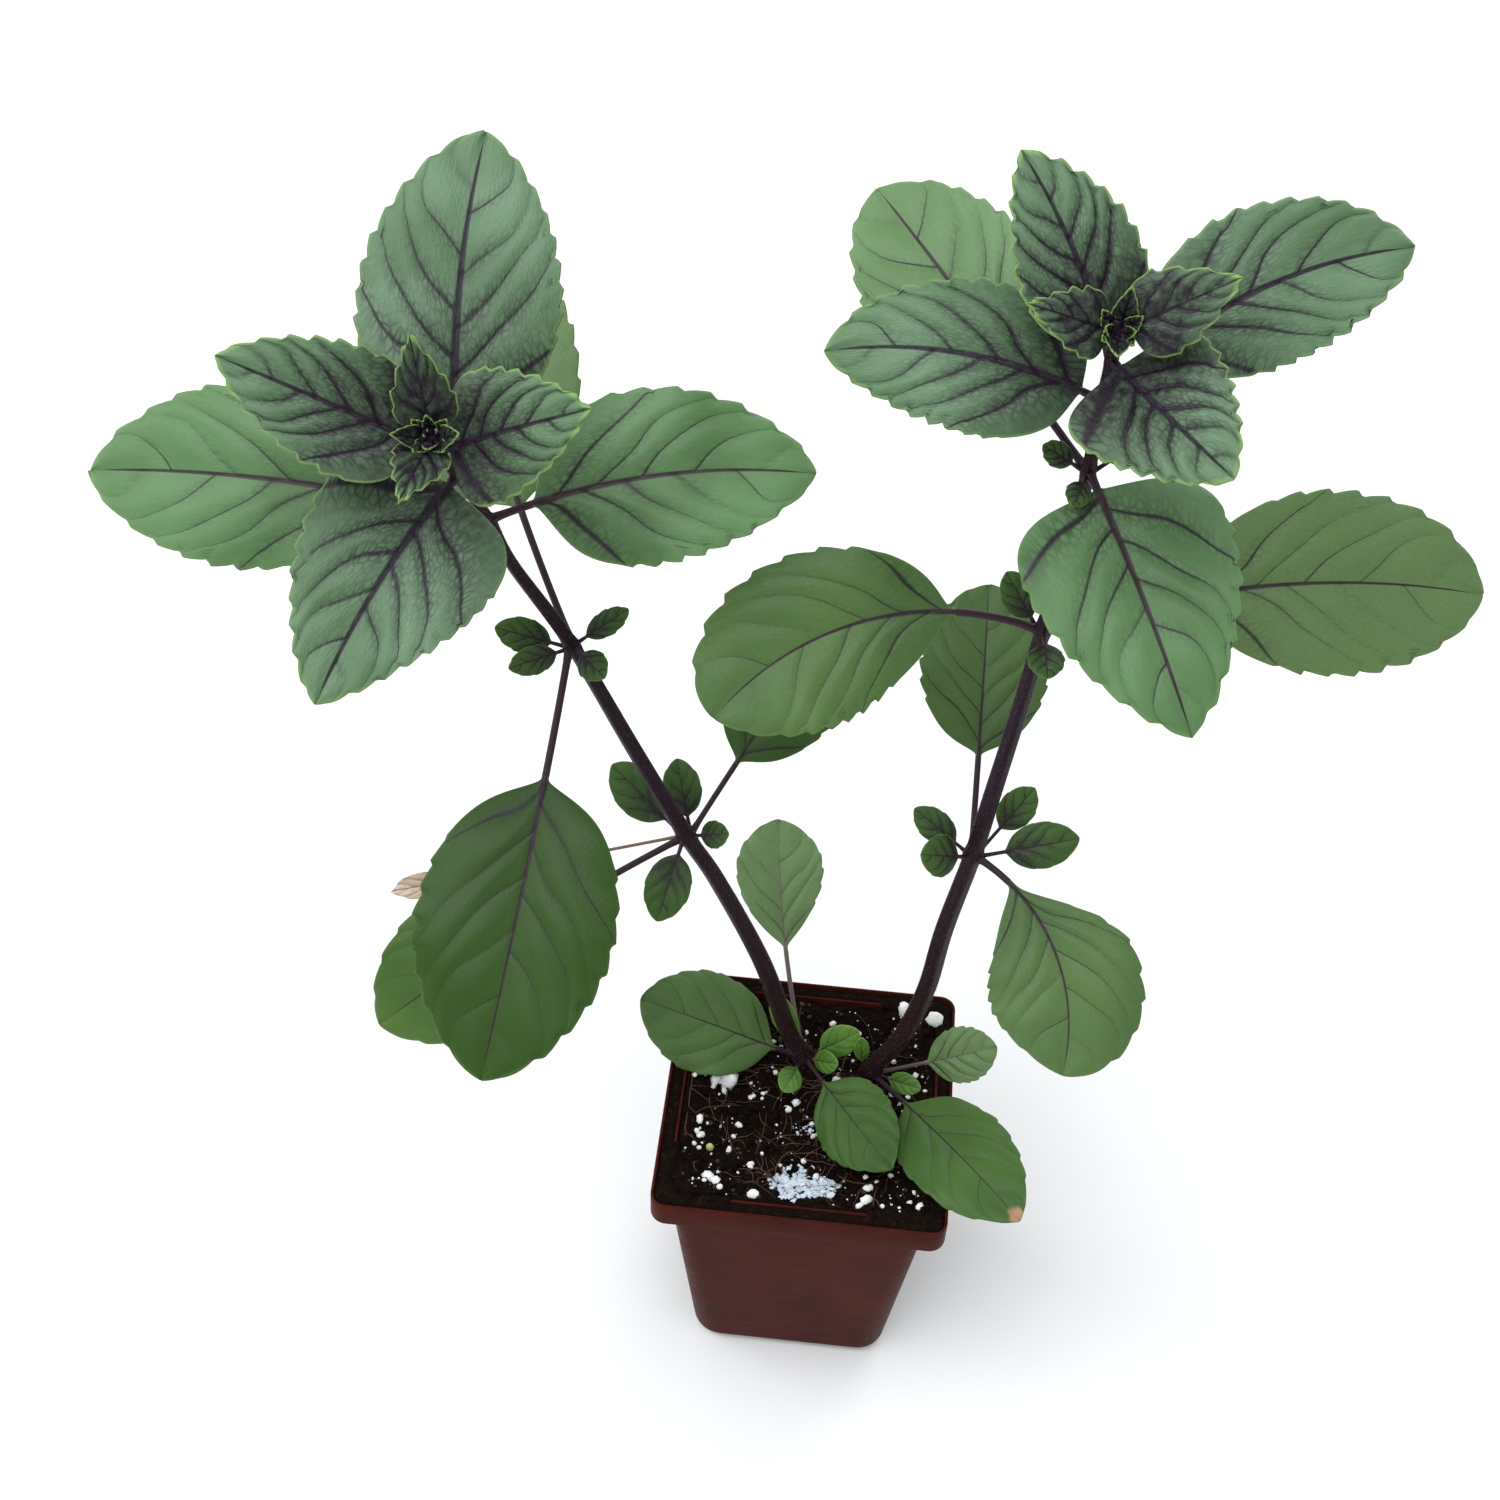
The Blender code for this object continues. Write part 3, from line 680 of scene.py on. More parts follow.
def smooth_line(points, steps):
    """Points on a Catmull-Rom curve through the given points, `steps` to each span."""
    points = np.asarray(points, float)
    ends = np.vstack([2 * points[0] - points[1], points, 2 * points[-1] - points[-2]])
    share = (np.arange(steps) / steps)[:, None]
    spans = []
    for before, start, stop, after in zip(ends, ends[1:], ends[2:], ends[3:]):
        spans.append(
            start
            + share * (stop - before) / 2
            + share**2 * (before - 2.5 * start + 2 * stop - after / 2)
            + share**3 * (1.5 * start - before / 2 - 1.5 * stop + after / 2)
        )
    return np.vstack(spans + [points[-1:]])


def stem_line(stem, steps=1):
    """The stem's line above the pot's foot, as its points are given above the mix."""
    return smooth_line(STEM_LINES[stem], steps) + (0, 0, SOIL_TOP)


def length_along(line):
    """Length from the first point to each point."""
    return np.r_[0, np.cumsum(np.linalg.norm(np.diff(line, axis=0), axis=1))]


def stem_radius(stem, steps=1):
    """Half the thickness at each point: it tapers with the length grown, to the power 1.4."""
    grown = length_along(stem_line(stem, steps))
    return (STEM_BASE + (STEM_TOP - STEM_BASE) * (grown / grown[-1]) ** 1.4) / 2


for stem in STEM_LINES:
    print(stem, "stem:", length_along(stem_line(stem, 8))[-1].round(), "mm long")

# %% Section carried along a stem
RINGS_A_SPAN, STEM_SIDES = 26, 32
SQUARE, RIBS, RIB_HEIGHT = 0.085, 13, 0.012
JOINT_SWELL, SWELL_REACH = 0.2, 2.4


def stem_shape(stem):
    """Skin of a stem, with its rings and the spokes from its line to them.

    Round the stem the radius is multiplied by 1 + SQUARE cos(4 turn) + RIB_HEIGHT cos(RIBS turn), and
    along it by 1 + JOINT_SWELL e^(-(distance / SWELL_REACH)^2) at each joint below the bud.
    """
    line, radius = stem_line(stem, RINGS_A_SPAN), stem_radius(stem, RINGS_A_SPAN)
    grown = length_along(line)
    for joint in JOINTS[stem][:-1]:
        distance = grown - grown[joint * RINGS_A_SPAN]
        radius = radius * (1 + JOINT_SWELL * np.exp(-((distance / SWELL_REACH) ** 2)))
    along = unit(np.gradient(line, axis=0))
    first = unit(np.cross((0, 1, 0), along))
    spoke = spokes(first, np.cross(along, first), STEM_SIDES)
    turn = round_turn(STEM_SIDES)
    section = 1 + SQUARE * np.cos(4 * turn) + RIB_HEIGHT * np.cos(RIBS * turn)
    rings = line[:, None] + (radius[:, None] * section)[..., None] * spoke
    notes = {
        "grain": stacked(np.cos(turn) * 2.5, np.sin(turn) * 2.5, grown[:, None] / 9),
        "grown": stacked(grown[:, None] / grown[-1], 0 * turn, 0 * turn),
    }
    return skin_over(rings, notes), rings, spoke


print("at its foot a stem is", round(2 * stem_radius("left")[0], 1), "mm thick, and square by", SQUARE)

# %% [markdown]
# The skin of these stems is purple-black, as aubergine skin is: green tissue below, a dark pigment
# above. Fine ribs run along it, it is satin, and it pales to brown near the soil where it turns
# woody. The ribs are noise on the section and the length, kept as an attribute, so that they bend
# with the stem.

# %% Stem skin
def stem_skin():
    """Purple-black, paler on the ribs, and brown by up to 0.7 at the foot.

    The brown is gone at half the length: a shader reads the vector `grown` as the mean of its three
    numbers, which is a third of the share grown.
    """
    made, tree, shader = finish_of("purple_stem_skin", Roughness=0.5, IOR=1.45, Specular_IOR_Level=0.12)
    grain = add(tree, "Attribute", {}, "Vector", attribute_name="grain")
    grown = add(tree, "Attribute", {}, "Vector", attribute_name="grown")
    ribs = add(tree, "TexNoise", {"Vector": grain, "Scale": 1.6, "Detail": 5.0, "Roughness": 0.6})
    woody = add(tree, "MapRange", {0: grown, 1: 0.02, 2: 0.16, 3: 0.7, 4: 0.0})
    pale = add(tree, "MapRange", {0: ribs, 1: 0.5, 2: 0.8, 3: 0.0, 4: 0.75})
    purple = add(tree, "Mix", {0: pale, **mix("1c0d17", "3b2031")}, 2, data_type="RGBA")
    both = add(tree, "Mix", {0: woody, **mix(purple, "2c1c18")}, 2, data_type="RGBA")
    relief = add(tree, "Bump", {"Height": ribs, "Strength": 0.5, "Distance": 0.0003})
    feed(tree, shader, {"Base Color": both, "Normal": relief})
    return made


purple_skin = stem_skin()
print(purple_skin.name, "has", len(purple_skin.node_tree.nodes), "nodes")

# %% [markdown]
# Hairs a millimetre long stand all over the stems, each a three-sided spike a little thicker than a
# real hair, so that it is still seen from arm's length. They could be a particle system, but spikes
# worked out in one go are a mesh that any program can read.

# %% Stems and their hairs
HAIRS, HAIR_THICK, HAIR_SUNK = 3600, 0.024, 0.05
hair_skin, _, _ = finish_of("pale_plant_hair", Base_Color="8f7d88", Roughness=0.5)


def spikes(roots, ways, lengths, thick):
    """Three-sided spikes: a small triangle round each root, and a tip that leans along its way."""
    side = unit(np.cross(ways, (0.3, 0.5, 0.81)))
    base = roots[:, None] + thick * spokes(side, np.cross(ways, side), 3)
    tips = roots + ways * lengths[:, None]
    points = np.concatenate([base, tips[:, None]], axis=1).reshape(-1, 3)
    corner = np.array([(0, 2, 1), (0, 1, 3), (1, 2, 3), (2, 0, 3)])
    faces = (4 * np.arange(len(roots))[:, None, None] + corner).reshape(-1, 3)
    return Shape(points, outward(points, [faces]), {})


for stem in STEM_LINES:
    shape, rings, spoke = stem_shape(stem)
    put("stem_" + stem + "_skin", shape, purple_skin, "stem_skin", "stem_" + stem)
    dice = np.random.default_rng(30 + len(stem))
    row = dice.integers(RINGS_A_SPAN // 2, len(rings) - 4, HAIRS)
    column = dice.integers(0, STEM_SIDES, HAIRS)
    out = unit(spoke[row, column] + dice.normal(0, 0.25, (HAIRS, 3)))
    roots = rings[row, column] - HAIR_SUNK * out
    hairs = spikes(roots, out, dice.uniform(0.5, 1.15, HAIRS), HAIR_THICK)
    put("stem_" + stem + "_hairs", hairs, hair_skin, "stem_skin")

# %% [markdown]
# ## The leaves
#
# A basil leaf is one sheet of tissue on a stalk. Leaves stand in opposite pairs at each joint, each
# pair square to the one below it, and small sprouts grow in the corners between stalk and stem. Every
# blade turns its face to the light.
#
# A name says on which stem and at which joint a leaf stands. A row gives the way that the leaf heads
# round the light and how far it rises towards it, in degrees, then the lengths of its stalk and its
# blade and the blade's width. The rows follow the working model's. Nineteen of them differ from it a
# little, and the withered leaf's the most. What else sets one leaf apart comes last:
#
# - curl, sway and roll: how the blade bows, swings sideways and tilts, in degrees
# - cup: the slope of the blade's two halves
# - outline: the powers that shape its base and its tip, and the share over which it starts
# - late: which half starts late, by its sign, and at what share of the blade that half is full
# - shade: from 0 to 1, how much painted shade darkens the leaf
# - pale: from 0 to 1, how much paler the leaf is than its age says
# - brown: a dry place, as a share along the blade, then its place across and its radius

# %% Table of leaves
Leaf = namedtuple(
    "Leaf",
    "name heading rise stalk blade width curl sway roll cup outline late shade pale brown",
    defaults=(15, 0, 0, 0.12, None, 0, 0.0, 0.0, None),
)
LEAVES = [
    Leaf("leaf_left_foot_west", 162, 16, 6, 46, 33, roll=-20, pale=0.3),
    Leaf("leaf_left_foot_front", -41, 45, 11, 39, 26, outline=(0.72, 0.8)),
    Leaf("leaf_left_foot_back", 107, 0, 31, 42, 28, sway=12, outline=(1.05, 0.68), pale=1.0),
    Leaf("sprout_left_foot_back", 118, 20, 3, 17, 8),
    Leaf("sprout_left_foot_right", 33, 25, 3, 15, 10),
    Leaf("sprout_left_foot_front", 5, 52, 2, 11, 7.5),
    Leaf("sprout_left_foot_left", -120, 60, 3, 12, 8),
    Leaf("leaf_left_1_back", 63, 0, 22, 55, 33, sway=4, shade=0.5),
    Leaf("leaf_left_1_west", 213, 0, 24, 79, 44, sway=-8, outline=(0.62, 0.62)),
    Leaf("leaf_left_1_withered", 197, -24, 76, 30, 8, curl=25, cup=0.5),
    Leaf("sprout_left_1_west", 140, 10, 5, 22, 14),
    Leaf("sprout_left_1_front", -102, 15, 3, 20, 13),
    Leaf("sprout_left_1_back", 105, 15, 3, 17, 11),
    Leaf("sprout_left_1_east", 10, 30, 2, 9, 8),
    Leaf("leaf_left_2_front", -93, 10, 32, 77, 50, sway=5, shade=0.75),
    Leaf("leaf_left_2_back", 119, -8, 36, 88, 53, sway=12, pale=0.7),
    Leaf("sprout_left_2_west", 170, 10, 3, 15, 9),
    Leaf("sprout_left_2_back", 38, 10, 2, 13, 6.5),
    Leaf("sprout_left_2_front", 205, 22, 2, 13, 7.5),
    Leaf("sprout_left_2_east", -38, 30, 2, 10, 8),
    Leaf("leaf_left_3_west", 171, 0, 20, 77, 43, sway=-13, outline=(0.6, 0.66)),
    Leaf("leaf_left_3_east", 26, 0, 9, 67, 41, sway=25, outline=(0.52, 0.72)),
    Leaf("leaf_left_4_back", 98, 5, 8, 67, 46, sway=15, outline=(0.5, 0.7, 0.02)),
    Leaf("leaf_left_4_front", -121, 15, 1, 57, 45, sway=-13, outline=(0.3, 0.8, 0.01)),
    Leaf("leaf_left_5_west", 163, 20, 3, 45, 28, outline=(0.36, 0.75, 0.012)),
    Leaf("leaf_left_5_east", 14, 35, 0.8, 38, 29, outline=(0.3, 0.84, 0.01)),
    Leaf("leaf_left_6_back", 103, 35, 0.5, 21, 14, outline=(0.34, 1.15, 0.01), shade=0.45),
    Leaf("leaf_left_6_front", -103, 40, 0.5, 17, 12.5, outline=(0.34, 1.2, 0.01)),
    Leaf("leaf_right_foot_east", 20, 17, 15, 23, 18, pale=0.95),
    Leaf("leaf_right_foot_front", -30, 46, 15, 55, 33, curl=22, roll=28,
         outline=(0.66, 0.76), brown=(0.97, 0.0, 3.2)),
    Leaf("sprout_right_foot_back", 97, 42, 2, 10, 5),
    Leaf("sprout_right_foot_front", -10, 25, 3, 11, 7),
    Leaf("leaf_right_1_back", 91, -5, 25, 50, 36, pale=0.4, shade=0.4),
    Leaf("leaf_right_1_front", -28, 15, 10, 57, 42, sway=72, outline=(0.8, 0.6), late=-0.5, pale=0.35),
    Leaf("sprout_right_1_back", 145, 5, 3, 15, 9),
    Leaf("sprout_right_1_west", 180, 40, 2, 13, 12),
    Leaf("sprout_right_1_northeast", 55, 10, 8, 15, 10),
    Leaf("sprout_right_1_east", 16, 10, 6, 21, 13),
    Leaf("leaf_right_2_west", 166, 10, 20, 66, 42, sway=-70, outline=(0.72, 0.56), pale=0.25),
    Leaf("leaf_right_2_east", 23, 0, 33, 74, 45, sway=26, outline=(0.6, 0.62), pale=0.6),
    Leaf("sprout_right_2_back", 125, 20, 2, 13, 9),
    Leaf("sprout_right_2_front", -83, 35, 2, 10, 9),
    Leaf("leaf_right_3_front", -66, 30, 4, 60, 46, curl=40, outline=(0.34, 0.8, 0.012)),
    Leaf("leaf_right_3_back", 129, -10, 22, 62, 39, outline=(0.6, 0.62), pale=0.4),
    Leaf("sprout_right_3_west", 155, 20, 2, 8, 6),
    Leaf("sprout_right_3_front", -110, 40, 2, 8, 6),
    Leaf("sprout_right_3_east", 36, 25, 3, 10, 7),
    Leaf("sprout_right_3_back", 72, 20, 2, 7, 5),
    Leaf("leaf_right_4_west", 158, 0, 3, 56, 33, sway=-32, outline=(0.45, 0.7, 0.015)),
    Leaf("leaf_right_4_east", 50, 0, 12, 62, 34, sway=37, outline=(0.56, 0.68)),
    Leaf("leaf_right_5_back", 112, 15, 3, 41, 26, sway=-16, outline=(0.42, 0.8, 0.012)),
    Leaf("leaf_right_5_front", -48, 30, 0.8, 35, 33, sway=-6, outline=(0.22, 0.72, 0.008)),
    Leaf("leaf_right_6_west", 174, 35, 0.5, 20, 14, outline=(0.34, 1.1, 0.01)),
    Leaf("leaf_right_6_east", 26, 30, 0.5, 24, 17, outline=(0.4, 1.0, 0.01)),
]
print(len(LEAVES), "leaves, the largest blade", max(one.blade for one in LEAVES), "mm long")

# %% [markdown]
# A leaf's middle line starts at the stem's skin and bends as it goes: `curl` bows the blade away
# from the light, and `sway` swings it sideways. Every point of the blade hangs on this line, on the
# side direction and on the direction that the blade faces.

# %% Middle line of a leaf
FACING, STALK_THICK = 45.0, 1.9
STALK_STEPS, BLADE_STEPS = 30, 200


def stalk_radius(one):
    """Half a stalk's thickness, which grows with the blade's width up to a limit."""
    return min(STALK_THICK, 0.7 + one.width / 35) / 2


def joint_of(name):
    """The stem, and the point of its line, that a leaf's name such as leaf_left_2_front tells."""
    _, stem, joint, _ = name.split("_")
    return stem, JOINTS[stem][0 if joint == "foot" else int(joint)]


def leaf_start(one):
    """Where the stalk leaves the stem, its first direction, and the direction that the blade faces."""
    stem, joint = joint_of(one.name)
    line = stem_line(stem)
    along = unit(line[min(joint + 1, len(line) - 1)] - line[joint - 1])
    lean = np.radians(FACING)
    right, back = np.array([1, 0, 0]), np.array([0, np.cos(lean), np.sin(lean)])
    light = np.array([0, -np.sin(lean), np.cos(lean)])
    heading, rise, roll = np.radians([one.heading, one.rise, one.roll])
    out = np.cos(rise) * (np.cos(heading) * right + np.sin(heading) * back) + np.sin(rise) * light
    face = unit(light - light.dot(out) * out)
    face = np.cos(roll) * face - np.sin(roll) * np.cross(out, face)
    away = unit(out - out.dot(along) * along)
    lift = stem_radius(stem)[joint] + GAP + stalk_radius(one) * abs(out.dot(along))
    return line[joint] + away * lift, out, face


def leaf_line(one):
    """Length grown and, at each step of it, the place, the side direction and the face direction.

    The bow is curl times the share of the blade to the power 1.3, and the sway grows with the length.
    The line adds up its own directions, step by step.
    """
    start, out, face = leaf_start(one)
    side = np.cross(out, face)
    grown = np.r_[
        np.linspace(0, one.stalk, STALK_STEPS, endpoint=False),
        one.stalk + one.blade * np.linspace(0, 1, BLADE_STEPS),
    ]
    share = np.clip((grown - one.stalk) / one.blade, 0, 1)
    bow = np.radians(one.curl * share**1.3)[:, None]
    sweep = np.radians(one.sway * grown / grown[-1])[:, None]
    along = np.cos(sweep) * (np.cos(bow) * out - np.sin(bow) * face) + np.sin(sweep) * side
    faces = np.sin(bow) * out + np.cos(bow) * face
    moves = (along[1:] + along[:-1]) / 2 * np.diff(grown)[:, None]
    line = start + np.vstack([np.zeros(3), np.cumsum(moves, axis=0)])
    return grown, line, np.cross(along, faces), faces, out


def hung_on_line(one, far, across, height):
    """Points at a length along the middle line, moved to the side and towards the face.

    Before the line's start, where the length is negative, it runs straight on into the stem.
    """
    grown, line, sides, faces, out = leaf_line(one)

    def at(values):
        """Each axis of the values, read at the lengths."""
        return np.stack([np.interp(far, grown, values[:, axis]) for axis in range(3)], axis=-1)

    points = at(line) + np.minimum(far, 0)[..., None] * out
    return points + (across[..., None] * at(sides) + height[..., None] * at(faces))


print(LEAVES[0].name, "starts at", leaf_start(LEAVES[0])[0].round(1), "mm")

# %% [markdown]
# Side veins leave the midrib and arc forward, the tissue swells between them, and the margin is cut
# into teeth that point to the tip. To catch all of that, the sheet's grid follows the veins: its rows
# are not straight across the blade but run along the arcs, so that a valley, a bulge or a vein is
# simply a row. Sculpting would do for one leaf. This way one formula draws all of them.

# %% Grid that follows the veins
FIRST_VEIN, VEIN_LEAD, LEFT_LAG = 0.75, 0.5, 0.35
Look = namedtuple("Look", "skin base tip veins teeth tooth quilt wave blush lime vein_width rows columns")
Blade = namedtuple("Blade", "v under a left p n u flat wide rib span across to_vein")


def vein_grid(look, chance):
    """Columns v from -1 to 1 over the top and back underneath, and rows p from 0 to nearly 1.

    With a = |v|, p = 0.998 s^2 for even steps s, so that rows crowd at the stalk. The vein count
    n = FIRST_VEIN + veins (1 - (1 - p)^1.5) is whole on a vein, less LEFT_LAG on the left half. The
    share of the blade's length is u = p + (1 - p) (1 - e^(-p / 0.05)) (lead + wobble), where the lead
    is VEIN_LEAD (1 + p) (0.8 a + 0.2 a^3) and the wobble is a sum of two sines.
    """
    spread = np.linspace(-1, 1, look.columns + 1)
    spread = spread - 0.6 * np.sin(2 * np.pi * spread) / (2 * np.pi)
    v = np.r_[spread, spread[-2:0:-1]][None]
    under = np.r_[np.zeros(look.columns + 1), np.ones(look.columns - 1)][None]
    a, left = np.abs(v), (v < 0).astype(int)
    p = 0.998 * (np.linspace(0, 1, look.rows) ** 2)[:, None]
    n = FIRST_VEIN + look.veins * (1 - (1 - p) ** 1.5) - LEFT_LAG * left
    lead = VEIN_LEAD * (1 + p) * (0.8 * a + 0.2 * a**3)
    slow = np.sin(4 * a + 6.3 * chance[left, 0] + 2.2 * n)
    quick = np.sin(9 * a + 6.3 * chance[left, 1] - 1.7 * n)
    wobble = slow + 0.6 * quick
    u = p + (1 - p) * (1 - np.exp(-p / 0.05)) * (lead + 0.027 * wobble * 4 * a * (1 - a))
    return v, under, a, left, p, n, np.clip(u, 0, 0.9995)


def blade_width(share, base, tip, foot=0.045):
    """Half width over the largest: share^base times (1 - share)^tip, over its own peak.

    It is narrowed over the first `foot` of the length, where the blade runs into the stalk.
    """
    peak = base / (base + tip)
    narrow = 1 - np.exp(-((share / foot) ** 1.3))
    return (share / peak) ** base * ((1 - share) / (1 - peak)) ** tip * narrow


shares = np.linspace(0, 1, 201)
for powers in ((0.7, 0.7), (0.4, 1.0)):
    widest = shares[blade_width(shares, *powers).argmax()]
    print("powers", powers, "make a blade widest at", widest.round(2), "of its length")

# %% [markdown]
# Teeth are cut along the margin, each with a long back and a short front. A real blade is about
# 0.3 mm thick, so the sheet has a top and an underside that meet in a rounded margin: it then takes
# light from both sides as tissue does. Underneath, midrib and side veins stand out as ridges. Above,
# they lie in grooves.

# %% Margin
TOOTH_SIZES, TOOTH_BACK = 64, 0.84


def teeth(look, v, a, left, u, chance, sizes):
    """How far the margin stands out, in mm: each tooth climbs as (rest / TOOTH_BACK)^0.7, then drops.

    `rest` is the part of the tooth count past its last whole number. Teeth fade in over the first
    third of the blade, fade out at its tip, and reach the outer quarter of the sheet only.
    """
    tooth = look.teeth * (u - 0.2) / 0.77 + chance[left, 2] + 0.1 * np.sin(5 * u + 6 * chance[left, 3])
    rest = tooth % 1
    bite = np.where(rest < TOOTH_BACK, (rest / TOOTH_BACK) ** 0.7, (1 - rest) / (1 - TOOTH_BACK)) - 0.6
    size = 0.7 + 0.6 * sizes[left, np.floor(tooth).astype(int) % TOOTH_SIZES]
    zone = ease(0.2, 0.34, u) * (1 - ease(0.94, 0.99, u)) * ease(0.72, 1, a)
    return np.sign(v) * look.tooth * bite * size * zone


def blade_of(one, look, chance, sizes):
    """The grid of a blade, with its half width, its midrib and its place across, all in mm.

    At its foot the sheet wraps round the midrib, as sin(90 degrees v). From 0.08 of the length on it
    lies flat, as v.
    """
    v, under, a, left, p, n, u = vein_grid(look, chance)
    wide = one.width / 2 * blade_width(u, *(one.outline or (look.base, look.tip)))
    wide = wide * np.where(v * one.late > 0, ease(-0.12, abs(one.late), u), 1)
    rib = stalk_radius(one) * (1 - 0.85 * u**0.7)
    span = np.sqrt(wide**2 + rib**2)
    flat = np.clip(u / 0.08, 0, 1)
    across = span * ((1 - flat) * np.sin(np.pi * v / 2) + flat * v)
    across = across + teeth(look, v, a, left, u, chance, sizes)
    pitch = one.blade * 0.72 / (1.5 * look.veins * np.sqrt(1.02 - p))
    to_vein = np.abs(n - np.round(n)) * pitch
    return Blade(v, under, a, left, p, n, u, flat, wide, rib, span, across, to_vein)


print("a tooth climbs over", TOOTH_BACK, "of its length and drops over the rest")

# %% Relief and thickness
SHEET = 0.32


def relief(one, look, blade, chance):
    """Height of the sheet's middle over the middle line, in mm.

    It adds the cup, a bulge |sin(180 degrees n)|^1.6 between veins, a wave that grows as a^2 to the
    margin, and takes off a droop that grows as a^3, the midrib's groove and a valley on each vein.
    """
    _, _, a, left, _, n, u, flat, wide, rib, _, across, to_vein = blade
    bulge = np.abs(np.sin(np.pi * n)) ** 1.6 * ease(0, 0.3, a) * (1 - 0.75 * a**2) * ease(0, 0.12, u)
    long_wave = 0.7 * np.sin(2 * np.pi * (1.2 * u + chance[left, 4]))
    short_wave = 0.5 * np.sin(2 * np.pi * (2.7 * u + chance[left, 5]))
    wave = long_wave + short_wave
    return (
        one.cup * (np.sqrt(across**2 + 0.5) - 0.7) * np.clip(u * 5, 0, 1)
        + look.quilt * bulge
        + look.wave * min(1, one.width / 40) * wave * a**2 * ease(0, 0.3, u)
        - (0.06 + 0.1 * chance[0, 0]) * wide * a**3
        - 0.4 * rib * np.exp(-((across / (rib + 0.3)) ** 2)) * ease(0.04, 0.2, u)
        - 0.45 * look.quilt * np.exp(-((to_vein / 0.5) ** 2)) * flat * (1 - 0.6 * a)
    )


def half_thickness(blade):
    """From the sheet's middle up to its top, and down, as less than 0, to its underside.

    The margin is rounded as the square root of the distance to it. Underneath, the round midrib and
    a ridge 0.2 mm high on each vein stand out. Above, the midrib sinks in past the foot.
    """
    _, under, a, _, _, _, u, flat, _, rib, _, across, to_vein = blade
    edge = np.clip((1 - a) / 0.05, 0, 1) ** 0.5 * SHEET / 2
    round_rib = np.sqrt(np.clip(rib**2 - across**2, 0, None))
    over = np.maximum(edge, round_rib * (1 - ease(0, 0.14, u)))
    ridge = 0.2 * np.exp(-((to_vein / 0.45) ** 2)) * (1 - a) * flat
    below = np.maximum(edge, round_rib * (1 + 0.25 * ease(0, 0.1, u))) + ridge
    return np.where(under > 0, -below, over)


print("a sheet is", SHEET, "mm thick, and a stalk up to", STALK_THICK, "mm")

# %% [markdown]
# The shader needs to know more than the shape, so each point keeps five notes:
#
# - veins: the distance to the nearest side vein, to the midrib and to the margin
# - tone: the blush of purple, whether the point is on the underside, and how lime the margin is
# - sheet: the place across and along the flat leaf, for the broad and the fine mottling
# - age: how pale the leaf is, whether the point is dry and brown, and how much painted shade darkens it
# - ladder: the way out from the midrib and the vein count, for the net of the smallest veins
#
# The stalk's rows come before the blade's, so that stalk and blade are one skin, as they grew.

# %% Stalk and notes
STALK_SUNK, FAR_AWAY = 1.5, 9.0
LADDER_STEP, LADDERS_A_VEIN = 1.6, 4.4


def stalk_rings(one, v, under):
    """Rows of the stalk: the length along it, and the place across and over its middle line.

    The stalk is round, and 1.3 times as thick where it leaves the stem.
    """
    far = np.linspace(-STALK_SUNK, one.stalk, 6 + int(one.stalk / 3), endpoint=False)[:, None]
    swell = stalk_radius(one) * (1 + 0.3 * np.exp(-np.clip(far, 0, None) / 1.5))
    turned = np.pi * v / 2
    return far + 0 * v, swell * np.sin(turned), swell * np.cos(turned) * np.where(under > 0, -1, 1)


def blade_notes(one, look, blade, seed):
    """Notes for the veins, the tone and the ladder, on the blade's own rows.

    Distances to veins, midrib and margin are given as shares of the width that each is drawn with.
    The blush fades as e^-(u / reach)^2 from the base, and away from the veins as e^(-distance / 1.2).
    """
    _, under, a, left, p, n, u, _, _, _, span, across, to_vein = blade
    vein_half = look.vein_width * (1 - 0.85 * a**1.5) * (1 - 0.6 * p)
    rib_half = 1.05 * look.vein_width * (1 - 0.8 * u**0.7) * (1 + one.width / 25)
    rib_half = rib_half * (0.1 + 0.9 * ease(1, 0.86, u))
    rim = 0.45 * min(1, 0.25 + one.width / 40)
    to_rim = (1 - a) * span / rim * (1 - 0.65 * ease(0.72, 1, u))
    veins = stacked(to_vein / vein_half, np.abs(across) / rib_half, to_rim)
    near_base = np.exp(-((u / (0.33 + 0.15 * look.blush)) ** 2)) * (1 - 0.5 * a)
    near_veins = np.exp(-to_vein / 1.2) * (1 - 0.7 * u) * (1 - 0.6 * a)
    blush = look.blush * (0.9 * near_base + 0.4 * near_veins)
    pale_side = under * (ease(0.1, 0.4, u) if look.blush > 1 else 1)
    tone = stacked(np.clip(blush, 0, 1), pale_side, look.lime + 0 * u)
    from_rib = np.hypot(across, (u - p) * one.blade)
    ladder = stacked(from_rib / LADDER_STEP, LADDERS_A_VEIN * n + 40 * left, seed * 3.1 + 0 * u)
    return veins, tone, ladder


stalk_lengths, _, _ = stalk_rings(LEAVES[0], np.zeros((1, 2)), np.zeros((1, 2)))
print("the stalk of", LEAVES[0].name, "has", len(stalk_lengths), "rings")

# %% Whole leaf
def dryness(one, far, across, seed):
    """1 within the radius of the leaf's brown place, with a ragged edge, and 0 elsewhere."""
    if not one.brown:
        return 0 * far
    share, place, radius = one.brown
    reach = np.hypot(far - one.stalk - share * one.blade, across - place)
    return 1 - ease(radius - 1, radius + 0.6, reach + 1.2 * bumps(far, across, 1.3, seed))


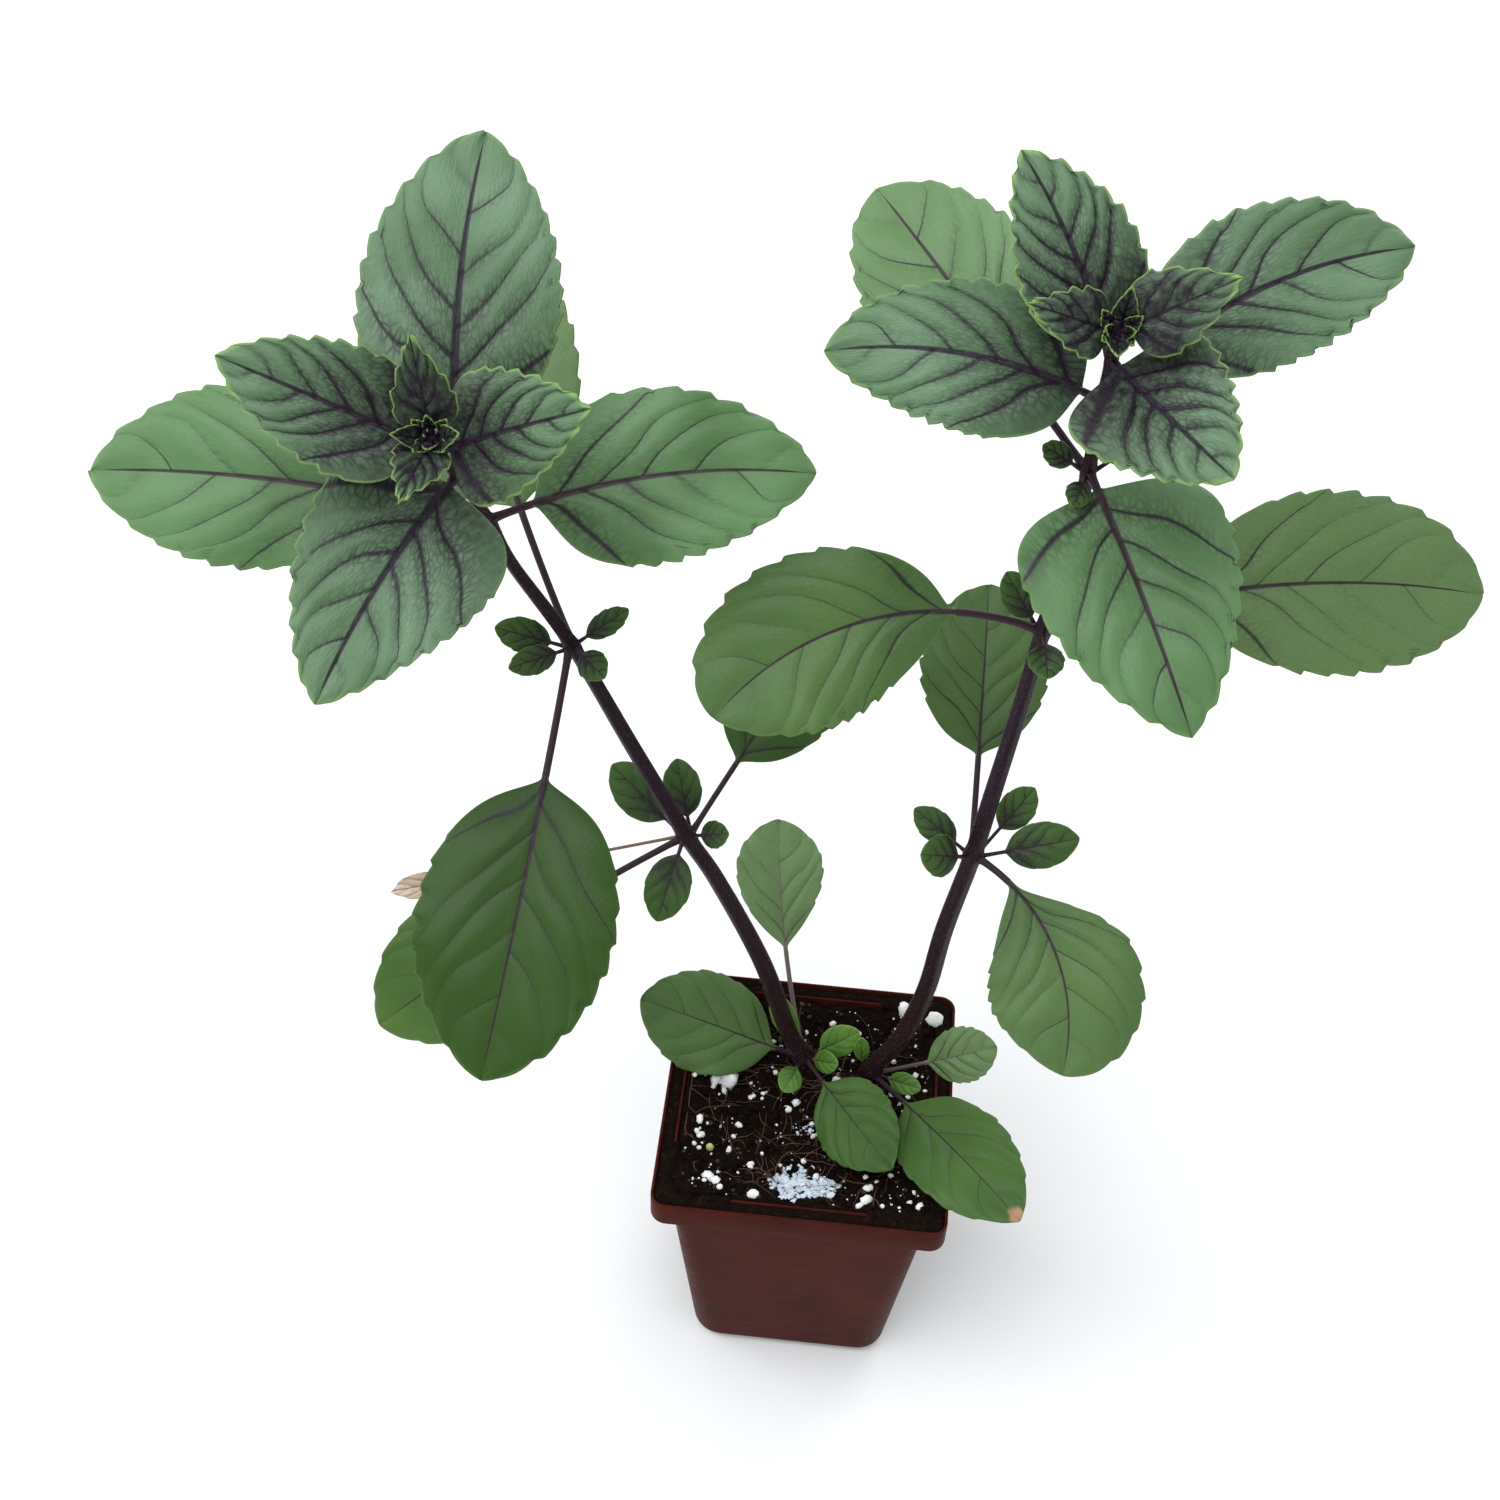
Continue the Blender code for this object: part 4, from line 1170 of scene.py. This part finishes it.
def leaf_shape(one, look, seed):
    """The closed skin of stalk and blade, with its notes."""
    dice = np.random.default_rng(seed)
    chance = dice.random((2, 6))
    blade = blade_of(one, look, chance, dice.random((2, TOOTH_SIZES)))
    height = relief(one, look, blade, chance) + half_thickness(blade)
    of_stalk = stalk_rings(one, blade.v, blade.under)
    of_blade = (one.stalk + one.blade * blade.u, blade.across, height)
    far, across, height = (np.vstack(pair) for pair in zip(of_stalk, of_blade))
    points = hung_on_line(one, far, across, height)
    veins, tone, ladder = blade_notes(one, look, blade, seed)

    def after_stalk(value, values):
        """The blade's values after rows of one value for the stalk."""
        rows = (len(of_stalk[0]), *values.shape[1:])
        return np.vstack([np.broadcast_to(value, rows), values])

    notes = {
        "veins": after_stalk((FAR_AWAY, 0.0, FAR_AWAY), veins),
        "tone": after_stalk((1.0, 0.0, 0.0), tone),
        "ladder": after_stalk(ladder[:1], ladder),
        "sheet": stacked(across, far, seed * 7.3 + 0 * far),
        # age: paleness, the dry brown place, and painted shade
        "age": stacked(one.pale, dryness(one, far, across, seed), one.shade),
    }
    return skin_over(points, notes)


trial = Look(None, 0.6, 0.66, 5, 8, 1.4, 0.5, 1.0, 0.4, 0.3, 0.34, 120, 48)
trial_leaf = leaf_shape(LEAVES[0], trial, 1)
print("a trial leaf:", triangles(trial_leaf), "triangles,", len(trial_leaf.notes), "notes")

# %% [markdown]
# The colours of a leaf tell its age, and on some leaves a darker green is laid on as painted shade.
# Pigment that is purple-black fills the veins and, in young crown leaves, floods the tissue at the
# base, while the margin stays lime. Old leaves are plain green with a bluish bloom, and a leaf that
# grew in shade has a pale stalk. The net of the smallest veins is a ladder between side veins, with
# rungs about 1.6 mm apart, drawn as the edges of cells scattered over the ladder's own two
# directions. The colour is laid on in layers, each by its own share: mottled greens, painted shade,
# the net, the blush, side veins, midrib and margin, then the paler underside. The mottling changes
# over about 30 mm, the blush's patches over 2 mm and the grain over 0.7 mm.

# %% Leaf skin
def leaf_skin(name, deep, pale, dark, lime, below, net_depth, gloss, stalk="2b1623"):
    """One age's skin: its greens, its pigment, its margin, its underside, its net and its roughness."""
    made, tree, shader = finish_of(
        name, IOR=1.42, Specular_IOR_Level=0.3, Coat_Weight=0.05, Coat_Roughness=0.45
    )
    veins, tone, sheet, age, ladder = (
        add(tree, "Attribute", {}, "Vector", attribute_name=note)
        for note in ("veins", "tone", "sheet", "age", "ladder")
    )
    to_vein, to_rib, to_edge = (add(tree, "SeparateXYZ", {0: veins}, axis) for axis in "XYZ")
    blush, under, limed = (add(tree, "SeparateXYZ", {0: tone}, axis) for axis in "XYZ")
    pale_one, rust, shade = (add(tree, "SeparateXYZ", {0: age}, axis) for axis in "XYZ")
    pale_stalk = add(tree, "MapRange", {0: pale_one, 1: 0.8, 2: 1.0, 3: 0.0, 4: 0.7})
    stalk = add(tree, "Mix", {0: pale_stalk, **mix(stalk, "7d6e6b")}, 2, data_type="RGBA")

    broad = add(tree, "TexNoise", {"Vector": sheet, "Scale": 0.035, "Detail": 2.0})
    patchy = add(tree, "TexNoise", {"Vector": sheet, "Scale": 0.5, "Detail": 3.0})
    fine = add(tree, "TexNoise", {"Vector": sheet, "Scale": 1.4, "Detail": 4.0, "Roughness": 0.6})
    net = add(tree, "TexVoronoi", {"Vector": ladder, "Scale": 1.0}, feature="DISTANCE_TO_EDGE")
    thread = add(tree, "MapRange", {0: net, 1: 0.0, 2: 0.2, 3: 1.0, 4: 0.0})

    wide = add(tree, "MapRange", {0: broad, 1: 0.3, 2: 0.7, 3: 0.1, 4: 0.9})
    greyed = add(tree, "Math", {0: pale_one, 1: 0.55}, operation="MULTIPLY")
    grain = add(tree, "MapRange", {0: fine, 1: 0.4, 2: 0.8, 3: 0.0, 4: 0.25})
    near = add(tree, "MapRange", {0: to_vein, 1: 1.0, 2: 12.0, 3: 1.0, 4: 0.15})
    strong = add(tree, "MapRange", {0: blush, 1: 0.0, 2: 0.5, 3: 0.15, 4: 0.75})
    near_thread = add(tree, "Math", {0: thread, 1: near}, operation="MULTIPLY")
    dark_net = add(tree, "Math", {0: near_thread, 1: strong}, operation="MULTIPLY")
    patches = add(tree, "MapRange", {0: patchy, 1: 0.35, 2: 0.65, 3: 0.5, 4: 0.95})
    flood = add(tree, "Math", {0: blush, 1: patches}, operation="MULTIPLY")
    soft = {"interpolation_type": "SMOOTHSTEP"}
    vein = add(tree, "MapRange", {0: to_vein, 1: 0.3, 2: 1.9, 3: 0.9, 4: 0.0}, **soft)
    rib = add(tree, "MapRange", {0: to_rib, 1: 0.6, 2: 1.5, 3: 0.95, 4: 0.0}, **soft)
    margin = add(tree, "MapRange", {0: to_edge, 1: 0.4, 2: 1.7, 3: 1.0, 4: 0.0})
    margin = add(tree, "Math", {0: margin, 1: limed}, operation="MULTIPLY")
    faint = add(tree, "Math", {0: vein, 1: 0.55}, operation="MULTIPLY")

    low = below
    for share, colour in ((faint, dark), (rib, stalk)):
        low = add(tree, "Mix", {0: share, **mix(low, colour)}, 2, data_type="RGBA")
    # The layer of shade over 274409 is painted shade: a darker green on the leaves that the table shades.
    layers = (
        (wide, pale), (greyed, below), (shade, "274409"), (grain, deep), (dark_net, dark),
        (flood, dark), (vein, dark), (rib, stalk), (margin, lime), (under, low), (rust, "a5805f"),
    )
    whole = deep
    for share, colour in layers:
        whole = add(tree, "Mix", {0: share, **mix(whole, colour)}, 2, data_type="RGBA")

    matt = add(tree, "MapRange", {0: under, 3: gloss, 4: 0.75})
    uneven = add(tree, "MapRange", {0: fine, 3: -0.06, 4: 0.08})
    rough = add(tree, "Math", {0: matt, 1: uneven}, operation="ADD")
    sunk = {"Height": thread, "Strength": net_depth, "Distance": 0.0002}
    sunk = add(tree, "Bump", sunk, invert=True)
    relief = {"Height": fine, "Normal": sunk, "Strength": 0.1, "Distance": 0.0002}
    relief = add(tree, "Bump", relief)
    feed(tree, shader, {"Base Color": whole, "Roughness": rough, "Normal": relief})
    return made


mature = leaf_skin("mature_leaf_waxy", "48693a", "688d5e", "1c0f1d", "7d9c55", "85a070", 0.12, 0.4)
# Painted shade: the lower leaves and sprouts, under the crown, get darker greens than the mature skin.
shaded = leaf_skin("lower_leaf_waxy", "30501b", "49692b", "1f1a1f", "6b8a42", "85a070", 0.12, 0.42)
crown = leaf_skin(
    "crown_leaf_flushed", "4b6a43", "6f8c6c", "18071b", "8aac54", "7a9268", 0.3, 0.4, "18071b"
)
bright = leaf_skin("foot_sprout_tender", "456f24", "648f38", "3a3028", "88ac50", "8cb06a", 0.2, 0.45)
dry = leaf_skin(
    "withered_leaf_dry", "a58b72", "dccbb8", "6b5444", "d8c6b0", "c2ab92", 0.9, 0.8, "7a6252"
)
print("a leaf skin has", len(mature.node_tree.nodes), "nodes")

# %% [markdown]
# One look for each age says how a leaf of that age is built: its skin, the powers of its outline at
# base and tip, how many side veins and teeth each half has, the heights of tooth, quilting and wave,
# how strong its blush and its lime margin are, how wide a vein is drawn, and the rows and columns of
# its grid. The name says where a leaf stands, and so which look it has. Lower leaves are widest near
# their middle and evenly green. Their skin, which the sprouts share, has darker greens that are
# painted shade from the crown above. The crown's are widest nearer the base, quilted and dark-veined.

# %% Looks by age
LOOKS = {
    "foot": Look(shaded, 0.72, 0.68, 4, 6, 0.6, 0.5, 1.5, 0.06, 0.1, 0.15, 96, 44),
    "1": Look(shaded, 0.68, 0.66, 5, 7, 1.0, 0.4, 1.2, 0.12, 0.15, 0.21, 120, 48),
    "2": Look(shaded, 0.62, 0.68, 5, 8, 1.4, 0.45, 1.2, 0.15, 0.2, 0.24, 120, 48),
    "3": Look(mature, 0.6, 0.66, 5, 8, 1.4, 0.5, 1.0, 0.4, 0.3, 0.34, 120, 48),
    "4": Look(crown, 0.54, 0.74, 5, 9, 1.4, 0.7, 0.8, 0.85, 0.35, 0.46, 120, 48),
    "5": Look(crown, 0.5, 0.8, 5, 7, 1.4, 0.85, 0.6, 1.3, 0.6, 0.46, 110, 44),
    "6": Look(crown, 0.4, 1.0, 4, 4, 1.3, 0.5, 0.3, 2.1, 0.7, 0.3, 84, 36),
    "bud": Look(crown, 0.5, 0.9, 3, 3, 0.3, 0.2, 0.0, 3.0, 0.75, 0.3, 40, 24),
    "sprout": Look(shaded, 0.66, 0.68, 3, 3, 0.3, 0.25, 0.3, 1.0, 0.25, 0.26, 44, 26),
    "foot sprout": Look(bright, 0.6, 0.62, 3, 3, 0.15, 0.15, 0.3, 0.08, 0.4, 0.14, 44, 26),
    "withered": Look(dry, 0.6, 0.8, 3, 0, 0.0, 0.9, 3.5, 0.1, 0.0, 0.2, 64, 20),
}
SLOTS = {
    mature: "mature_leaf", shaded: "mature_leaf", crown: "crown_leaf", bright: "young_leaf",
    dry: "withered_leaf",
}


def look_of(name):
    """Withered first, then sprouts, then the joint's number or the foot."""
    kind, _, joint, _ = name.split("_")
    if "withered" in name:
        return LOOKS["withered"]
    if kind == "sprout":
        return LOOKS["foot sprout" if joint == "foot" else "sprout"]
    return LOOKS[joint]


for number, one in enumerate(LEAVES):
    look = look_of(one.name)
    slot = "young_leaf" if one.name.startswith("sprout") else SLOTS[look.skin]
    slot = "mature_leaf" if one.name.startswith("leaf_right_4") else slot
    put(one.name + "_blade", leaf_shape(one, look, 100 + number), look.skin, slot, one.name)

# %% [markdown]
# ## The growing tips
#
# Each stem ends in a bud: two pairs of leaves too young to have opened, almost black and folded
# upright round a point, with four tiny ones round them. They are made as the other leaves are, only
# very small and steep, and joined into one piece for each tip. Their underside is as dark as their
# top, so its note is set to 0.

# %% Growing tips
BUD_LEAVES = (
    (5, 52, 9.5, 5.5), (185, 50, 9, 5.5), (95, 68, 6, 3.2), (275, 70, 5.5, 3.2),
    (50, 45, 4.5, 3.6), (140, 45, 4.5, 3.6), (230, 45, 4.5, 3.6), (320, 45, 4.5, 3.6),
)
BUD_STALK, BUD_OUTLINE = 0.5, (0.28, 1.0, 0.01)

for stem, turned in (("left", 0), ("right", 80)):
    shapes = []
    for number, (heading, rise, blade, width) in enumerate(BUD_LEAVES):
        name = "bud_" + stem + "_6_" + str(number)
        size = (BUD_STALK, blade, width)
        one = Leaf(name, turned + heading, rise, *size, curl=-8, cup=0.6, outline=BUD_OUTLINE)
        shapes.append(leaf_shape(one, LOOKS["bud"], 200 + number))
        shapes[-1].notes["tone"][:, 1] = 0
    put("tip_bud_" + stem + "_leaves", joined(shapes), crown, "crown_leaf", "tip_bud_" + stem)

# %% [markdown]
# ## Floor, light and the view
#
# The plant stands on a plain pale floor in soft light: a wide panel above and in front, a weaker one
# on each side, and a bright, even surround. Leaves with a waxy bloom need a broad light to show
# their sheen, where a small lamp would only leave hard glints.

# %% Floor
FLOOR_HALF = 6
corners = [(-1, -1), (1, -1), (1, 1), (-1, 1)]
floor_mesh = bpy.data.meshes.new("floor")
floor_mesh.from_pydata([(x * FLOOR_HALF, y * FLOOR_HALF, 0) for x, y in corners], [], [(0, 1, 2, 3)])
paper, _, _ = finish_of("matt_paper", Base_Color="f4f4f2", Roughness=0.9)
floor_mesh.materials.append(paper)
floor = bpy.data.objects.new("floor", floor_mesh)
bpy.context.scene.collection.objects.link(floor)
print("floor", 2 * FLOOR_HALF, "m wide")

# %% Lights
def panel(name, place, aim, size, power, colour):
    """A square soft light at a place, turned to face the aim, both in metres."""
    lamp = bpy.data.lights.new(name, "AREA")
    lamp.size, lamp.energy, lamp.color = size, power, linear(colour)[:3]
    holder = bpy.data.objects.new(name, lamp)
    way = Vector(aim) - Vector(place)
    turn = way.to_track_quat("-Z", "Y").to_matrix().to_4x4()
    holder.matrix_world = Matrix.Translation(place) @ turn
    bpy.context.scene.collection.objects.link(holder)
    print(name, "is", round(way.length, 2), "m from what it lights, at", power, "W")


PLANT_MIDDLE = (0, 0, 0.3)
panel("sky_panel", (-0.5, -0.5, 1.9), PLANT_MIDDLE, 1.6, 30, "f3f8ff")
panel("left_panel", (-1.5, 0.2, 0.9), PLANT_MIDDLE, 1.0, 7, "ffffff")
panel("back_panel", (0.6, 1.4, 1.3), PLANT_MIDDLE, 1.2, 9, "eef5ff")
world = bpy.data.worlds.new("surround")
bpy.context.scene.world = world
world.use_nodes = True
feed(world.node_tree, world.node_tree.nodes["Background"], {"Color": "fbfcff", "Strength": 0.68})
bpy.context.scene.view_settings.view_transform = "Standard"
